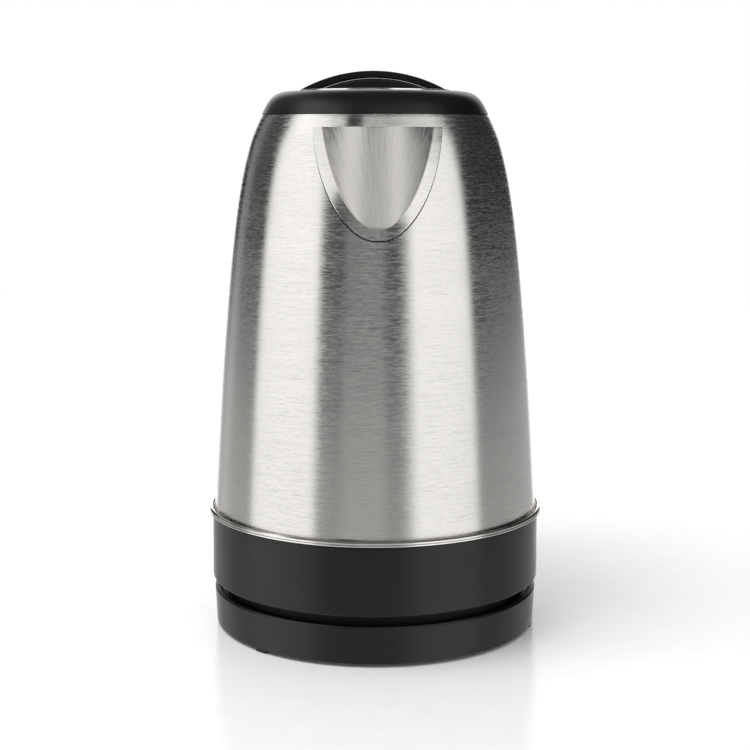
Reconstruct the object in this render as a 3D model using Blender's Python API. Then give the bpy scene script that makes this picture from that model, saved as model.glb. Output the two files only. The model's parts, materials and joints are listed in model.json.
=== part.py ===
"""Cordless electric kettle, 1.7 litres, on its round power base.

Written in millimetres and scaled to metres when each mesh is made. Heights are above the table.
Radii and the y of each point are measured from the kettle's own upright axis, with the spout at -Y
and the handle at +Y. An empty carries that axis to its place in the world.
"""

import math

import bmesh
import bpy
from mathutils import Matrix, Vector

MM = 0.001
GAP = 0.3                      # clearance between pieces that rest on each other
SIDES = 48                     # facets round every large turned piece

# ---- driving dimensions, in millimetres ----
AXIS_Y = -22.55                # where the kettle's axis stands in the world
FOOT_HEIGHT = 1.5              # the rubber feet lift the power base's rim by this
BASE_RADIUS = 74.5
BASE_TOP = 18.2                # top of the power base's rim
DECK = 16.7                    # the surface that the kettle stands on
HOUSING_RADIUS = 75.3
HOUSING_BOTTOM = 22.3
HOUSING_TOP = 52.6
RING_RADIUS = 76.9
RING_TOP = 55.8
STEEL = 0.8                    # sheet thickness of the body and the spout
PLATE_Z = 56.3                 # underside of the heater plate
BODY_TOP = 232.0
COLLAR_TOP = 242.4
MOUTH_RADIUS = 38.3
LID_RADIUS = 37.5
LID_BACK = 27.0                # the lid's straight rear edge
HINGE = Vector((0, 30.0, 245.3))
BUTTON_Y = 63.0                # the lid's release button, on the handle's top
CREST_ROUND = 62.0             # radius of the lid's arched crest, seen from the front
CREST_TOP = 249.0
LIP_Z = 226.6                  # the spout's pouring lip
SPOUT_HALF_WIDTH = 22.9
SPOUT_HEIGHT = 41.8
SPOUT_REACH = 76.1             # the lip's tip, from the axis
FLANGE_HALF_WIDTH = 27.1
FLANGE_HEIGHT = 46.5
STEAM_X = 17.0                 # the steam port in the collar stands beside the button
LEVER_PIVOT = Vector((0, 86.0, 44.0))
FOOT_ANGLES = (-44, 76, 196)   # degrees round from the spout's side, towards +X
GLAND_Z = 8.2                  # height of the cord outlet, at the back of the power base

# The steel body's outer side, as heights and radii that a smooth curve goes through.
BODY_CURVE = ((56, 74.1), (115, 70.4), (168, 65.7), (200, 61.3), (220, 56.6), (231, 52.2))

# The handle from the hood's front edge, back over the top and down to the lever. For each station:
# the crown's y and z, the half width, how far round the arched back goes (degrees), the height that
# the arch is drawn with, and the whole depth from the crown to the inner edge.
HANDLE_STATIONS = (
    (34.0, 253.2, 37.0, 31.4, 71.0, 17.0),
    (44.0, 253.2, 34.5, 37.0, 57.0, 24.0),
    (56.0, 253.0, 30.0, 46.0, 41.0, 30.5),
    (69.0, 251.6, 24.5, 61.0, 26.0, 29.0),
    (82.0, 248.0, 20.0, 76.0, 17.0, 24.5),
    (97.0, 240.6, 16.5, 88.0, 12.0, 23.0),
    (111.5, 226.0, 15.0, 90.0, 11.0, 24.0),
    (119.5, 205.0, 15.0, 90.0, 11.0, 25.0),
    (122.0, 180.0, 15.0, 90.0, 11.0, 25.0),
    (119.5, 150.0, 15.0, 90.0, 11.0, 25.0),
    (114.5, 122.0, 15.4, 90.0, 11.0, 26.0),
    (110.0, 104.0, 16.2, 89.0, 11.3, 30.0),
    (105.5, 87.0, 17.3, 88.0, 11.6, 38.0),
    (101.5, 70.0, 18.4, 87.0, 12.0, 41.0),
    (98.5, 54.0, 19.0, 86.0, 12.0, 34.0),
    (97.0, 38.0, 19.5, 86.0, 12.0, 26.0),
)
HANDLE_WALL = 2.7


# ---- scene, materials and helpers ----

def clear_scene():
    for obj in list(bpy.data.objects):
        bpy.data.objects.remove(obj)


def material(name, colour, roughness, metallic=0.0):
    """A plain Principled material, made once."""
    mat = bpy.data.materials.get(name)
    if mat is None:
        mat = bpy.data.materials.new(name)
        mat.use_nodes = True
        shader = mat.node_tree.nodes["Principled BSDF"]
        shader.inputs["Base Color"].default_value = (*colour, 1)
        shader.inputs["Roughness"].default_value = roughness
        shader.inputs["Metallic"].default_value = metallic
    return mat


MATERIALS = {
    "brushed_steel": ((0.62, 0.61, 0.59), 0.32, 1.0),
    "polished_steel": ((0.72, 0.71, 0.69), 0.12, 1.0),
    "black_plastic": ((0.018, 0.018, 0.019), 0.42, 0.0),
    "dark_plastic": ((0.03, 0.03, 0.032), 0.55, 0.0),
    "white_plastic": ((0.78, 0.77, 0.73), 0.5, 0.0),
    "rubber": ((0.02, 0.02, 0.02), 0.8, 0.0),
    "silicone": ((0.72, 0.72, 0.68), 0.6, 0.0),
    "aluminium": ((0.75, 0.75, 0.76), 0.4, 1.0),
    "brass": ((0.72, 0.52, 0.24), 0.3, 1.0),
    "spring_steel": ((0.45, 0.45, 0.46), 0.3, 1.0),
    "lens": ((0.75, 0.12, 0.06), 0.15, 0.0),
    "wire_sleeve": ((0.55, 0.08, 0.05), 0.5, 0.0),
}


class Kettle:
    """The empties that the pieces hang from."""

    axis = None


def finished(name, shape, slot, pivot=(0, 0, 0)):
    """An object from a bmesh in millimetres. Its origin stands at pivot.

    On a moving piece that is its joint's axis.
    """
    bmesh.ops.recalc_face_normals(shape, faces=shape.faces)
    bmesh.ops.translate(shape, verts=shape.verts, vec=-Vector(pivot))
    bmesh.ops.scale(shape, verts=shape.verts, vec=(MM, MM, MM))
    mesh = bpy.data.meshes.new(name)
    shape.to_mesh(mesh)
    shape.free()
    mesh.shade_smooth()
    mesh.set_sharp_from_angle(angle=math.radians(35))
    mesh.materials.append(material(slot, *MATERIALS[slot]))
    obj = bpy.data.objects.new(name, mesh)
    bpy.context.scene.collection.objects.link(obj)
    obj.parent = Kettle.axis
    obj.location = Vector(pivot) * MM
    return obj


def combined(obj, other, operation):
    """obj after an exact Boolean with other, which is used up."""
    bpy.context.view_layer.update()
    step = obj.modifiers.new("shape", "BOOLEAN")
    step.operation = operation
    step.solver = "EXACT"
    step.object = other
    bpy.context.view_layer.update()
    result = bpy.data.meshes.new_from_object(obj.evaluated_get(bpy.context.evaluated_depsgraph_get()))
    obj.modifiers.clear()
    obj.data = result
    bpy.data.objects.remove(other)
    return obj


def turned(name, profile, slot, sides=SIDES, pivot=(0, 0, 0), centre=(0, 0), turn=0.0):
    """A profile of (radius, height) points turned round an upright axis. A profile that starts and
    ends on the axis is left open there, and any other one is closed."""
    shape = bmesh.new()
    corners = [shape.verts.new((r, 0, z)) for r, z in profile]
    solid = profile[0][0] == 0
    pairs = list(zip(corners, corners[1:])) + ([] if solid else [(corners[-1], corners[0])])
    lines = [shape.edges.new(pair) for pair in pairs]
    bmesh.ops.spin(shape, geom=corners + lines, cent=(0, 0, 0), axis=(0, 0, 1),
                   angle=math.tau, steps=sides)
    bmesh.ops.remove_doubles(shape, verts=shape.verts, dist=0.002)
    bmesh.ops.rotate(shape, verts=shape.verts, cent=(0, 0, 0), matrix=Matrix.Rotation(turn, 3, "Z"))
    bmesh.ops.translate(shape, verts=shape.verts, vec=(centre[0], centre[1], 0))
    return finished(name, shape, slot, pivot)


def sector(name, profile, half_angle, slot, steps=12, pivot=(0, 0, 0)):
    """A closed profile of (radius, height) points, turned part of the way round.

    The part that it covers is centred on the spout's side.
    """
    rings = [[(*spot(r, half_angle * (2 * i / steps - 1)), z) for r, z in profile] for i in range(steps + 1)]
    return lofted(name, rings, slot, pivot)


def prism(name, outline, low, high, slot, along="Z", pivot=(0, 0, 0)):
    """An outline pushed from low to high along an axis.

    The outline lies in XY for Z, XZ for Y and YZ for X.
    """
    shape = bmesh.new()
    place = {
        "Z": lambda u, v, w: (u, v, w),
        "Y": lambda u, v, w: (u, w, v),
        "X": lambda u, v, w: (w, u, v),
    }[along]
    face = shape.faces.new([shape.verts.new(place(u, v, low)) for u, v in outline])
    grown = bmesh.ops.extrude_face_region(shape, geom=[face])
    moved = [v for v in grown["geom"] if isinstance(v, bmesh.types.BMVert)]
    bmesh.ops.translate(shape, verts=moved, vec=Vector(place(0, 0, high - low)))
    return finished(name, shape, slot, pivot)


def block(name, low, high, slot, pivot=(0, 0, 0)):
    outline = [(low[0], low[1]), (high[0], low[1]), (high[0], high[1]), (low[0], high[1])]
    return prism(name, outline, low[2], high[2], slot, pivot=pivot)


def rod(name, centre, radius, low, high, slot, along="X", sides=24, pivot=(0, 0, 0)):
    """A round bar along an axis. centre gives its two other coordinates."""
    return prism(name, arc(centre, radius, 0, 360, sides)[:-1], low, high, slot, along, pivot)


def lofted(name, rings, slot, pivot=(0, 0, 0)):
    """Closed rings of the same number of points, joined one to the next, with both ends closed."""
    shape = bmesh.new()
    loops = [[shape.verts.new(p) for p in ring] for ring in rings]
    count = len(rings[0])
    for a, b in zip(loops, loops[1:]):
        for i in range(count):
            j = (i + 1) % count
            shape.faces.new((a[i], a[j], b[j], b[i]))
    shape.faces.new(loops[0])
    shape.faces.new(reversed(loops[-1]))
    return finished(name, shape, slot, pivot)


def tube(name, points, radius, slot, resolution=2, pivot=(0, 0, 0)):
    """A round wire or hose along points, with closed ends."""
    curve = bpy.data.curves.new(name, "CURVE")
    curve.dimensions = "3D"
    curve.bevel_depth = radius * MM
    curve.bevel_resolution = resolution
    curve.use_fill_caps = True
    spline = curve.splines.new("POLY")
    spline.points.add(len(points) - 1)
    for place, p in zip(spline.points, points):
        place.co = (*((Vector(p) - Vector(pivot)) * MM), 1)
    curve.materials.append(material(slot, *MATERIALS[slot]))
    obj = bpy.data.objects.new(name, curve)
    bpy.context.scene.collection.objects.link(obj)
    obj.parent = Kettle.axis
    obj.location = Vector(pivot) * MM
    return obj


def arc(centre, radius, start, end, steps):
    """Points along an arc, in degrees, both ends included."""
    angles = [math.radians(start + (end - start) * i / steps) for i in range(steps + 1)]
    return [(centre[0] + radius * math.cos(a), centre[1] + radius * math.sin(a)) for a in angles]


def bezier(p0, p1, p2, p3, steps):
    """Points along a cubic curve, both ends included."""
    points = []
    for i in range(steps + 1):
        t = i / steps
        weights = ((1 - t) ** 3, 3 * t * (1 - t) ** 2, 3 * t * t * (1 - t), t ** 3)
        points.append(tuple(sum(w * p[k] for w, p in zip(weights, (p0, p1, p2, p3)))
                            for k in range(len(p0))))
    return points


def smoothed(points, parts):
    """A Catmull-Rom curve through points of any dimension, with that many parts between each two."""
    ends = [points[0], *points, points[-1]]
    found = []
    for i in range(1, len(ends) - 2):
        a, b, c, d = ends[i - 1:i + 3]
        for step in range(parts):
            t = step / parts
            found.append(tuple(
                0.5 * (2 * q + (r - p) * t + (2 * p - 5 * q + 4 * r - s) * t ** 2
                       + (3 * q - p - 3 * r + s) * t ** 3)
                for p, q, r, s in zip(a, b, c, d)))
    return found + [tuple(points[-1])]


def body_points():
    """Heights and outer radii up the steel body, close enough together for a smooth side."""
    return smoothed(BODY_CURVE, 2)


def body_radius(z):
    """The steel body's outer radius at a height."""
    points = body_points()
    if z <= points[0][0]:
        return points[0][1]
    for (z0, r0), (z1, r1) in zip(points, points[1:]):
        if z <= z1:
            return r0 + (r1 - r0) * (z - z0) / (z1 - z0)
    return points[-1][1]


def spot(radius, degrees):
    """A place at a radius, that many degrees round from the spout's side towards +X."""
    return radius * math.sin(math.radians(degrees)), -radius * math.cos(math.radians(degrees))


def screw(name, place, low, high, head_radius, head_height, shank_radius, slot="spring_steel"):
    """An upright screw, its head at the bottom."""
    profile = [(0, low + 0.6), (head_radius * 0.4, low + 0.6), (head_radius * 0.4, low), (head_radius, low),
               (head_radius, low + head_height), (shank_radius, low + head_height),
               (shank_radius, high), (0, high)]
    return turned(name, profile, slot, sides=12, centre=place)


# ---- the power base ----

def power_base():
    rim_low = FOOT_HEIGHT
    turned("base_upper_shell", [
        (73.8, rim_low), (BASE_RADIUS, BASE_TOP - 0.9), (BASE_RADIUS - 0.6, BASE_TOP),
        (72.4, BASE_TOP), (71.2, DECK), (18.5, DECK), (18.5, DECK - 2.2),
        (70.4, DECK - 2.2), (71.5, DECK - 3.4), (71.4, rim_low)], "black_plastic")
    cut_gland_notch()
    turned("base_lower_cover", [(0, 2.0), (71.0, 2.0), (71.0, 4.4), (0, 4.4)], "dark_plastic")
    turned("base_connector", [
        (0, 8.0), (21.0, 8.0), (21.0, 14.2), (17.0, 14.2), (17.0, 26.2), (16.2, 27.0),
        (13.0, 27.0), (13.0, 17.0), (10.5, 17.0), (10.5, 27.0), (6.2, 27.0), (6.2, 15.0),
        (0, 15.0)], "white_plastic", sides=28)
    turned("live_contact_ring", [(12.3, 17.3), (12.7, 17.3), (12.7, 23.0), (12.3, 23.0)], "brass", 32)
    turned("neutral_contact_ring", [(5.4, 15.3), (5.8, 15.3), (5.8, 21.0), (5.4, 21.0)], "brass", 24)
    turned("earth_pin", [(0, 15.3), (2.2, 15.3), (2.2, 24.2), (1.4, 25.4), (0, 25.4)], "brass", 16)
    for number, degrees in enumerate(FOOT_ANGLES, 1):
        turned(f"base_foot_{number}", [
            (0, 0), (4.2, 0), (4.6, 0.4), (4.6, 1.2), (2.2, 1.2), (2.2, 1.7), (0, 1.7)],
            "rubber", sides=16, centre=spot(67.6, degrees))
        screw_base_cover(number, degrees + 60)
    gland()


def screw_base_cover(number, degrees):
    """A screw in a bored boss of the lower cover."""
    place = spot(36, degrees)
    hole = turned("hole", [(0, 0), (2.9, 0), (2.9, 3.4), (1.6, 3.4), (1.6, 9), (0, 9)],
                  "dark_plastic", sides=12, centre=place)
    combined(bpy.data.objects["base_lower_cover"], hole, "DIFFERENCE")
    screw(f"base_screw_{number}", place, 2.2, 12.0, 2.5, 0.9, 1.3)


def cut_gland_notch():
    """The cord outlet is a notch in the base's side wall, open at its lower edge."""
    notch = prism("notch", arc((0, GLAND_Z), 5.4, 0, 180, 12) + [(-5.4, -1), (5.4, -1)],
                  64, 80, "black_plastic", along="Y")
    combined(bpy.data.objects["base_upper_shell"], notch, "DIFFERENCE")


def gland():
    """The bush that the mains lead goes through, and the bar that grips the lead behind it."""
    bush = rod("cord_gland", (0, GLAND_Z), 5.0, 71.4, 77.0, "rubber", "Y", sides=20)
    combined(bush, rod("bore", (0, GLAND_Z), 3.4, 60, 85, "rubber", "Y", sides=16), "DIFFERENCE")
    clamp = block("cord_clamp", (-9, 58, GLAND_Z + 0.4), (9, 65, 13.6), "dark_plastic")
    combined(clamp, rod("groove", (0, GLAND_Z), 3.5, 50, 70, "dark_plastic", "Y", sides=16), "DIFFERENCE")


# ---- the kettle's underside and heater ----

def underside():
    turned("lower_housing", [
        (72.5, HOUSING_BOTTOM), (HOUSING_RADIUS - 0.8, HOUSING_BOTTOM),
        (HOUSING_RADIUS, HOUSING_BOTTOM + 0.9), (75.0, HOUSING_TOP), (66.0, HOUSING_TOP),
        (66.0, HOUSING_TOP - 2.2), (72.5, HOUSING_TOP - 2.2)], "black_plastic")
    combined(bpy.data.objects["lower_housing"], block("port", (-8, 66, 43.6), (8, 82, 48.6), "black_plastic"),
             "DIFFERENCE")
    turned("bottom_cover", [
        (20.6, DECK + GAP), (69.0, DECK + GAP), (69.0, 23.4), (72.1, 23.4), (72.1, 25.4),
        (66.8, 25.4), (66.8, DECK + 2.5), (20.6, DECK + 2.5)], "dark_plastic", sides=40)
    for number, degrees in enumerate((60, 180, 300), 1):
        place = spot(44, degrees)
        hole = turned("hole", [(0, 14), (3.0, 14), (3.0, 18.2), (1.7, 18.2), (1.7, 22), (0, 22)],
                      "dark_plastic", sides=12, centre=place)
        combined(bpy.data.objects["bottom_cover"], hole, "DIFFERENCE")
        screw(f"cover_screw_{number}", place, 17.3, 28.0, 2.6, 0.8, 1.3)
    turned("trim_ring", [
        (74.6, HOUSING_TOP + GAP), (76.0, HOUSING_TOP + GAP), (RING_RADIUS, 53.5),
        (76.3, 54.4), (RING_RADIUS, 54.9), (76.2, RING_TOP), (75.1, 55.3), (74.6, 53.9)], "polished_steel")


def heater():
    """The concealed element: a steel plate, an aluminium spreader and the tube brazed under it."""
    turned("plate_seal", [(67.5, 54.1), (72.6, 54.1), (72.6, 56.0), (67.5, 56.0)], "silicone")
    turned("heater_plate", [(0, PLATE_Z), (72.8, PLATE_Z), (72.8, PLATE_Z + 0.8), (0, PLATE_Z + 0.8)],
           "polished_steel")
    turned("heat_spreader", [(0, 53.8), (58, 53.8), (58, 56.0), (0, 56.0)], "aluminium", sides=40)
    ring = [(x, y, 50.0) for x, y in arc((0, 0), 47, -70, 250, 40)]
    legs = [[(x, y, z) for z in (38, 44, 48)] for x, y in (ring[0][:2], ring[-1][:2])]
    tube("heating_element", legs[0] + ring[1:-1] + legs[1][::-1], 3.2, "aluminium", resolution=1)
    control = [(-26, -20), (26, -20), (26, 12), (14, 24), (-14, 24), (-26, 12)]
    prism("control_unit", control, 31.0, 46.0, "white_plastic")
    for side, x in (("left", -12), ("right", 12)):
        turned(f"overheat_disc_{side}", [(0, 46.4), (8, 46.3), (8, 46.8), (0, 47.3)], "brass",
               sides=20, centre=(x, -6))
    turned("socket_housing", [
        (20.3, DECK + 0.8), (20.3, 30.7), (4.9, 30.7), (4.9, 28.2), (11.0, 28.2), (11.0, 19.0),
        (11.8, 19.0), (11.8, 28.2), (17.8, 28.2), (17.8, DECK + 0.8)], "white_plastic", sides=28)
    turned("socket_contact_tube", [(3.0, 16.5), (4.4, 16.5), (4.4, 30.6), (3.0, 30.6)], "brass", 24)


# ---- the steel body and its spout ----

def body_shell():
    outside = [(70.5, HOUSING_TOP + 0.5), (73.6, HOUSING_TOP + 0.5), (74.15, HOUSING_TOP + 1.1)]
    outside += [(r, z) for z, r in body_points()] + [(51.6, BODY_TOP)]
    inside = [(50.95, BODY_TOP), (51.2, 231.0)]
    inside += [(r - STEEL, z) for z, r in reversed(body_points()[:-1])]
    inside += [(73.35, HOUSING_TOP + 1.3), (70.5, HOUSING_TOP + 1.3)]
    shell = turned("body_shell", outside + inside, "brushed_steel")
    low, high = LIP_Z - SPOUT_HEIGHT + 4.0, LIP_Z - 1.5
    rows = [high - (high - low) * i / 8 for i in range(9)]
    right = [(spout_half_width(z) - 1.8, z) for z in rows[:-1]]
    outline = [(-x, z) for x, z in reversed(right)] + right + [(0, low)]
    combined(shell, prism("spout_hole", outline, -90, -30, "brushed_steel", along="Y"), "DIFFERENCE")


def spout_half_width(z):
    """Half the beak's width where it leaves the body."""
    t = min(1.0, max(0.0, (LIP_Z - z) / SPOUT_HEIGHT))
    return SPOUT_HALF_WIDTH * math.sqrt(max(0.0, 1 - t ** 1.4))


def flange_half_width(z):
    """Half the width of the flange welded to the body round the beak."""
    t = min(1.0, max(0.0, (LIP_Z - z) / FLANGE_HEIGHT))
    return FLANGE_HALF_WIDTH * math.sqrt(max(0.0, 1 - t ** 1.7))


def spout_section(z):
    """The spout at one height, as one closed ring: outer side from left to right, inner side back."""
    skin = body_radius(z) + GAP + 0.35
    wide = max(flange_half_width(z), 1.2)
    half = max(spout_half_width(z), 0.3 * wide)
    t = (LIP_Z - z) / SPOUT_HEIGHT
    nose = SPOUT_REACH - (SPOUT_REACH - body_radius(LIP_Z - SPOUT_HEIGHT) - 1) * t ** 1.25
    bulge = max(0.0, nose - skin - STEEL) if t < 1 else 0.0

    def side(offset, inset):
        reach = skin + offset
        ear = [(wide - (wide - half) * i / 2, 0) for i in range(2)]
        inner_half = max(half - inset, 0.5 * half)
        angles = [math.radians(90 - 180 * i / 12) for i in range(13)]
        beak = [(inner_half * math.sin(a), max(bulge - inset, 0) * math.cos(a)) for a in angles]
        line = ear + beak + [(-x, b) for x, b in reversed(ear)]
        return [(x, -(math.sqrt(reach ** 2 - x ** 2) + b), z) for x, b in line]

    return side(STEEL, 0.0) + side(0.0, STEEL)[::-1]


def spout():
    rows = [LIP_Z - (FLANGE_HEIGHT - 0.3) * (i / 14) for i in range(15)]
    lofted("spout", [spout_section(z) for z in rows], "brushed_steel")


def spout_filter():
    """A curved frame and its mesh, which cover the opening from inside and draw inwards for cleaning."""
    def band(name, low, high, outer, inner, half_angle, slot):
        wall = [(body_radius(z) - STEEL - outer, z) for z in (low, 206, high)]
        return sector(name, wall + [(r - inner, z) for r, z in reversed(wall)], half_angle, slot, steps=10)

    low, high, rim = 185.5, 222.5, 3.0
    frame = band("filter_frame", low, high, 0.6, 2.4, 21.5, "dark_plastic")
    window = block("window", (-18, -70, low + rim), (18, -30, high - rim), "dark_plastic")
    combined(frame, window, "DIFFERENCE")
    mesh = band("filter_mesh", low + rim + 0.4, high - rim - 0.4, 1.5, 0.6, 16.3, "polished_steel")
    for row in range(4):
        z = low + rim + 3.4 + row * 6.6
        slot = block("slot", (-14, -70, z), (14, -30, z + 3.6), "polished_steel")
        combined(mesh, slot, "DIFFERENCE")


# ---- the collar, the lid and its hinge ----

def shoulder():
    """The collar's outer side, from the steel's edge up and in to its flat top."""
    return bezier((50.7, BODY_TOP + GAP), (48.2, 237.6), (46.0, COLLAR_TOP), (39.0, COLLAR_TOP), 8)


def collar():
    """The moulded shoulder. It is hollow from below, and a port at its back lets steam into the handle."""
    ring = turned("collar", shoulder() + [
        (MOUTH_RADIUS, COLLAR_TOP - 0.6), (MOUTH_RADIUS, 231.0), (40.3, 231.0), (40.3, 239.8),
        (45.2, 238.4), (47.5, 234.5), (47.5, 225.0), (49.9, 225.0), (49.9, BODY_TOP + GAP)], "black_plastic")
    combined(ring, rod("port", (STEAM_X, 237.0), 2.9, 25, 60, "black_plastic", "Y", sides=16), "DIFFERENCE")
    turned("collar_gasket", [(50.2, 226.2), (52.5, 226.2), (51.5, 229.0), (50.2, 229.0)], "silicone")


def d_outline(radius, back, steps=36):
    """A circle cut off straight at the back."""
    reach = math.degrees(math.asin(back / radius))
    return arc((0, 0), radius, 180 - reach, 360 + reach, steps)


def lid():
    top = COLLAR_TOP - 0.2
    cover = prism("lid_cover", d_outline(LID_RADIUS, LID_BACK), 238.6, top, "black_plastic", pivot=HINGE)
    half = math.sqrt(CREST_ROUND ** 2 - (CREST_ROUND - (CREST_TOP - 241.0)) ** 2)
    reach = math.degrees(math.asin(half / CREST_ROUND))
    arch = arc((0, CREST_TOP - CREST_ROUND), CREST_ROUND, 90 - reach, 90 + reach, 20)
    crest = prism("crest", arch, 10.0, 31.0, "black_plastic", "Y", pivot=HINGE)
    keep = prism("keep", d_outline(LID_RADIUS, 31.0), 239.5, 252, "black_plastic", pivot=HINGE)
    combined(crest, keep, "INTERSECT")
    combined(cover, crest, "UNION")
    for low, high in (((-40, 27.6, 236), (40, 40, 243.4)), ((-7.3, 25.8, 236), (7.3, 40, 247.8))):
        combined(cover, block("cut", low, high, "black_plastic", pivot=HINGE), "DIFFERENCE")
    for side in (-1, 1):
        low, high = sorted((side * 7.3, side * 11.6))
        combined(cover, rod("knuckle", HINGE.yz, 2.3, low, high, "black_plastic", pivot=HINGE), "UNION")
        lug = block("lug", (low + 0.2, 29.0, 244.5), (high - 0.2, 34.2, 246.3), "black_plastic", pivot=HINGE)
        combined(cover, lug, "UNION")
    for side in (-1, 1):
        low, high = sorted((side * 11.6, side * 40))
        combined(cover, block("cut", (low, 28.4, 238), (high, 40, 252), "black_plastic", pivot=HINGE),
                 "DIFFERENCE")
    combined(cover, rod("bore", HINGE.yz, 1.2, -12.6, 12.6, "black_plastic", pivot=HINGE), "DIFFERENCE")
    liner = prism("lid_liner", d_outline(35.3, 24.0, 28), 229.6, 238.3, "polished_steel", pivot=HINGE)
    hollow = prism("hollow", d_outline(34.3, 23.0, 28), 230.6, 240, "polished_steel", pivot=HINGE)
    combined(liner, hollow, "DIFFERENCE")
    gasket = prism("lid_gasket", d_outline(37.2, 26.0, 28), 235.0, 237.4, "silicone", pivot=HINGE)
    core = prism("core", d_outline(35.6, 24.3, 28), 230, 240, "silicone", pivot=HINGE)
    combined(gasket, core, "DIFFERENCE")


def hinge():
    """The fixed half of the lid's hinge, its pin and the spring that lifts the lid."""
    outer = arc((0, 0), 37.9, 112, 68, 8)
    plate = prism("hinge_bracket", [(14.2, 31.2), (-14.2, 31.2)] + outer, 236.0, 240.2, "black_plastic")
    for side in (-1, 1):
        low, high = sorted((side * 5.0, side * 6.9))
        web = [(31.6, 239.5), (34.5, 239.5), (32.2, 245.6), (30.0, 247.4), (28.0, 245.3)]
        ear = prism("ear", web, low, high, "black_plastic", along="X")
        combined(plate, ear, "UNION")
        combined(plate, rod("knuckle", HINGE.yz, 2.3, low, high, "black_plastic"), "UNION")
    combined(plate, rod("bore", HINGE.yz, 1.2, -12, 12, "black_plastic"), "DIFFERENCE")
    rod("lid_hinge_pin", HINGE.yz, 1.0, -11.4, 11.4, "spring_steel", sides=16)
    coil, half, segments = 1.75, 4.0, 53
    points = [(-half, 33.6, 242.4), (-half, 31.6, 243.9)]
    for i in range(segments + 1):
        a = math.radians(200 + 45 * i)
        points.append((-half + 2 * half * i / segments, HINGE.y - coil * math.sin(a),
                       HINGE.z + coil * math.cos(a)))
    points += [(half, 27.6, 246.9), (half, 27.2, 247.0)]
    tube("lid_spring", points, 0.3, "spring_steel", resolution=0)


def lid_release():
    """The button, the spring under it, and the sheet that its cone draws back from the lid's lugs."""
    centre, pivot = (0, BUTTON_Y), (0, BUTTON_Y, 251.0)
    button = turned("lid_button", [
        (0, 240.6), (3.0, 240.6), (3.0, 243.9), (6.0, 246.9), (6.0, 249.6), (8.2, 249.6), (8.2, 253.0),
        (7.0, 254.0), (0, 254.1)], "dark_plastic", sides=24, centre=centre, pivot=pivot)
    combined(button, rod("cup", centre, 2.1, 230, 243.5, "dark_plastic", "Z", 16, pivot), "DIFFERENCE")
    segments = 40
    coil = [(1.5 * math.cos(math.radians(45 * i)), BUTTON_Y + 1.5 * math.sin(math.radians(45 * i)),
             237.8 + 5.2 * i / segments) for i in range(segments + 1)]
    tube("button_spring", coil, 0.3, "spring_steel", resolution=0)
    half = [(7.8, 34.7), (11.1, 34.7), (11.1, 40.0), (9.0, 42.0), (9.0, 69.5)]
    outline = [(0, 36.6), (7.8, 36.6)] + half + [(-x, y) for x, y in reversed(half)] + [(-7.8, 36.6)]
    middle = (0, 46.0, 243.4)
    catch = prism("lid_catch", outline, 242.8, 244.1, "spring_steel", pivot=middle)
    window = block("window", (-6.6, 54.4, 240), (6.6, BUTTON_Y + 3.8, 246), "spring_steel", pivot=middle)
    combined(catch, window, "DIFFERENCE")


# ---- the handle ----

def handle_frames(parts=2):
    """Each station along the handle, with its tangent in the YZ plane."""
    stations = smoothed(HANDLE_STATIONS, parts)
    frames = []
    for i, station in enumerate(stations):
        before, after = stations[max(i - 1, 0)], stations[min(i + 1, len(stations) - 1)]
        along = Vector((0, after[0] - before[0], after[1] - before[1])).normalized()
        frames.append((station, along))
    return frames


def handle_ring(station, along, wall):
    """A channel's cross-section: the outside over the arched back, then the inside returned."""
    y, z, half, round_to, arch, depth = station
    inward = Vector((0, along.z, -along.y))
    crown = Vector((0, y, z))

    def side(inset):
        end = math.radians(round_to)
        wide = (half - inset) / math.sin(end)
        high = arch
        spread = [end * (1 - 2 * i / 12) for i in range(13)]
        curve = [(wide * math.sin(a), inset + high * (1 - math.cos(a))) for a in spread]
        curve = [(curve[0][0], depth), *curve, (curve[-1][0], depth)]
        return [crown + Vector((x, 0, 0)) + inward * d for x, d in curve]

    return side(0.0) + side(wall)[::-1]


def kettle_envelope(name, clearance):
    """A solid as large as the kettle's round parts and a clearance more. It trims what is fixed on them."""
    outline = [(0, 10), (HOUSING_RADIUS, 10), (HOUSING_RADIUS, HOUSING_TOP), (RING_RADIUS, HOUSING_TOP),
               (RING_RADIUS, RING_TOP), (74.15, RING_TOP + 0.2)]
    outline += [(r, z) for z, r in body_points()] + [(51.6, BODY_TOP)] + shoulder()[1:] + [(0, COLLAR_TOP)]
    grown = [(r + (clearance if r else 0), z + (clearance if z > HOUSING_TOP else 0)) for r, z in outline]
    return turned(name, grown, "black_plastic")


def handle():
    frames = handle_frames()
    shell = lofted("handle_shell", [handle_ring(s, along, HANDLE_WALL) for s, along in frames],
                   "black_plastic")
    combined(shell, kettle_envelope("trim", GAP), "DIFFERENCE")
    combined(shell, rod("hole", (0, BUTTON_Y), 8.8, 240, 260, "black_plastic", "Z", sides=24), "DIFFERENCE")
    combined(shell, block("window", (-11, 88, 30), (11, 110, 49.5), "black_plastic"), "DIFFERENCE")
    combined(shell, rod("seat", LEVER_PIVOT.yz, 1.5, -17.9, 17.9, "black_plastic"), "DIFFERENCE")
    handle_cover(frames)


def handle_cover(frames):
    """The strip that closes the channel on the side that the fingers go round."""
    rings = []
    for (y, z, half, _round, _arch, depth), along in frames:
        if y < 60 and z > 200 or z < 92:
            continue
        inward = Vector((0, along.z, -along.y))
        wide = half - HANDLE_WALL - 0.9
        section = [(wide, depth - 2.8), (wide, depth - 0.6), (wide - 1.2, depth), (-wide + 1.2, depth),
                   (-wide, depth - 0.6), (-wide, depth - 2.8)]
        rings.append([Vector((x, y, z)) + inward * d for x, d in section])
    cover = lofted("handle_cover", rings, "dark_plastic")
    combined(cover, kettle_envelope("trim", GAP), "DIFFERENCE")


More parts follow.
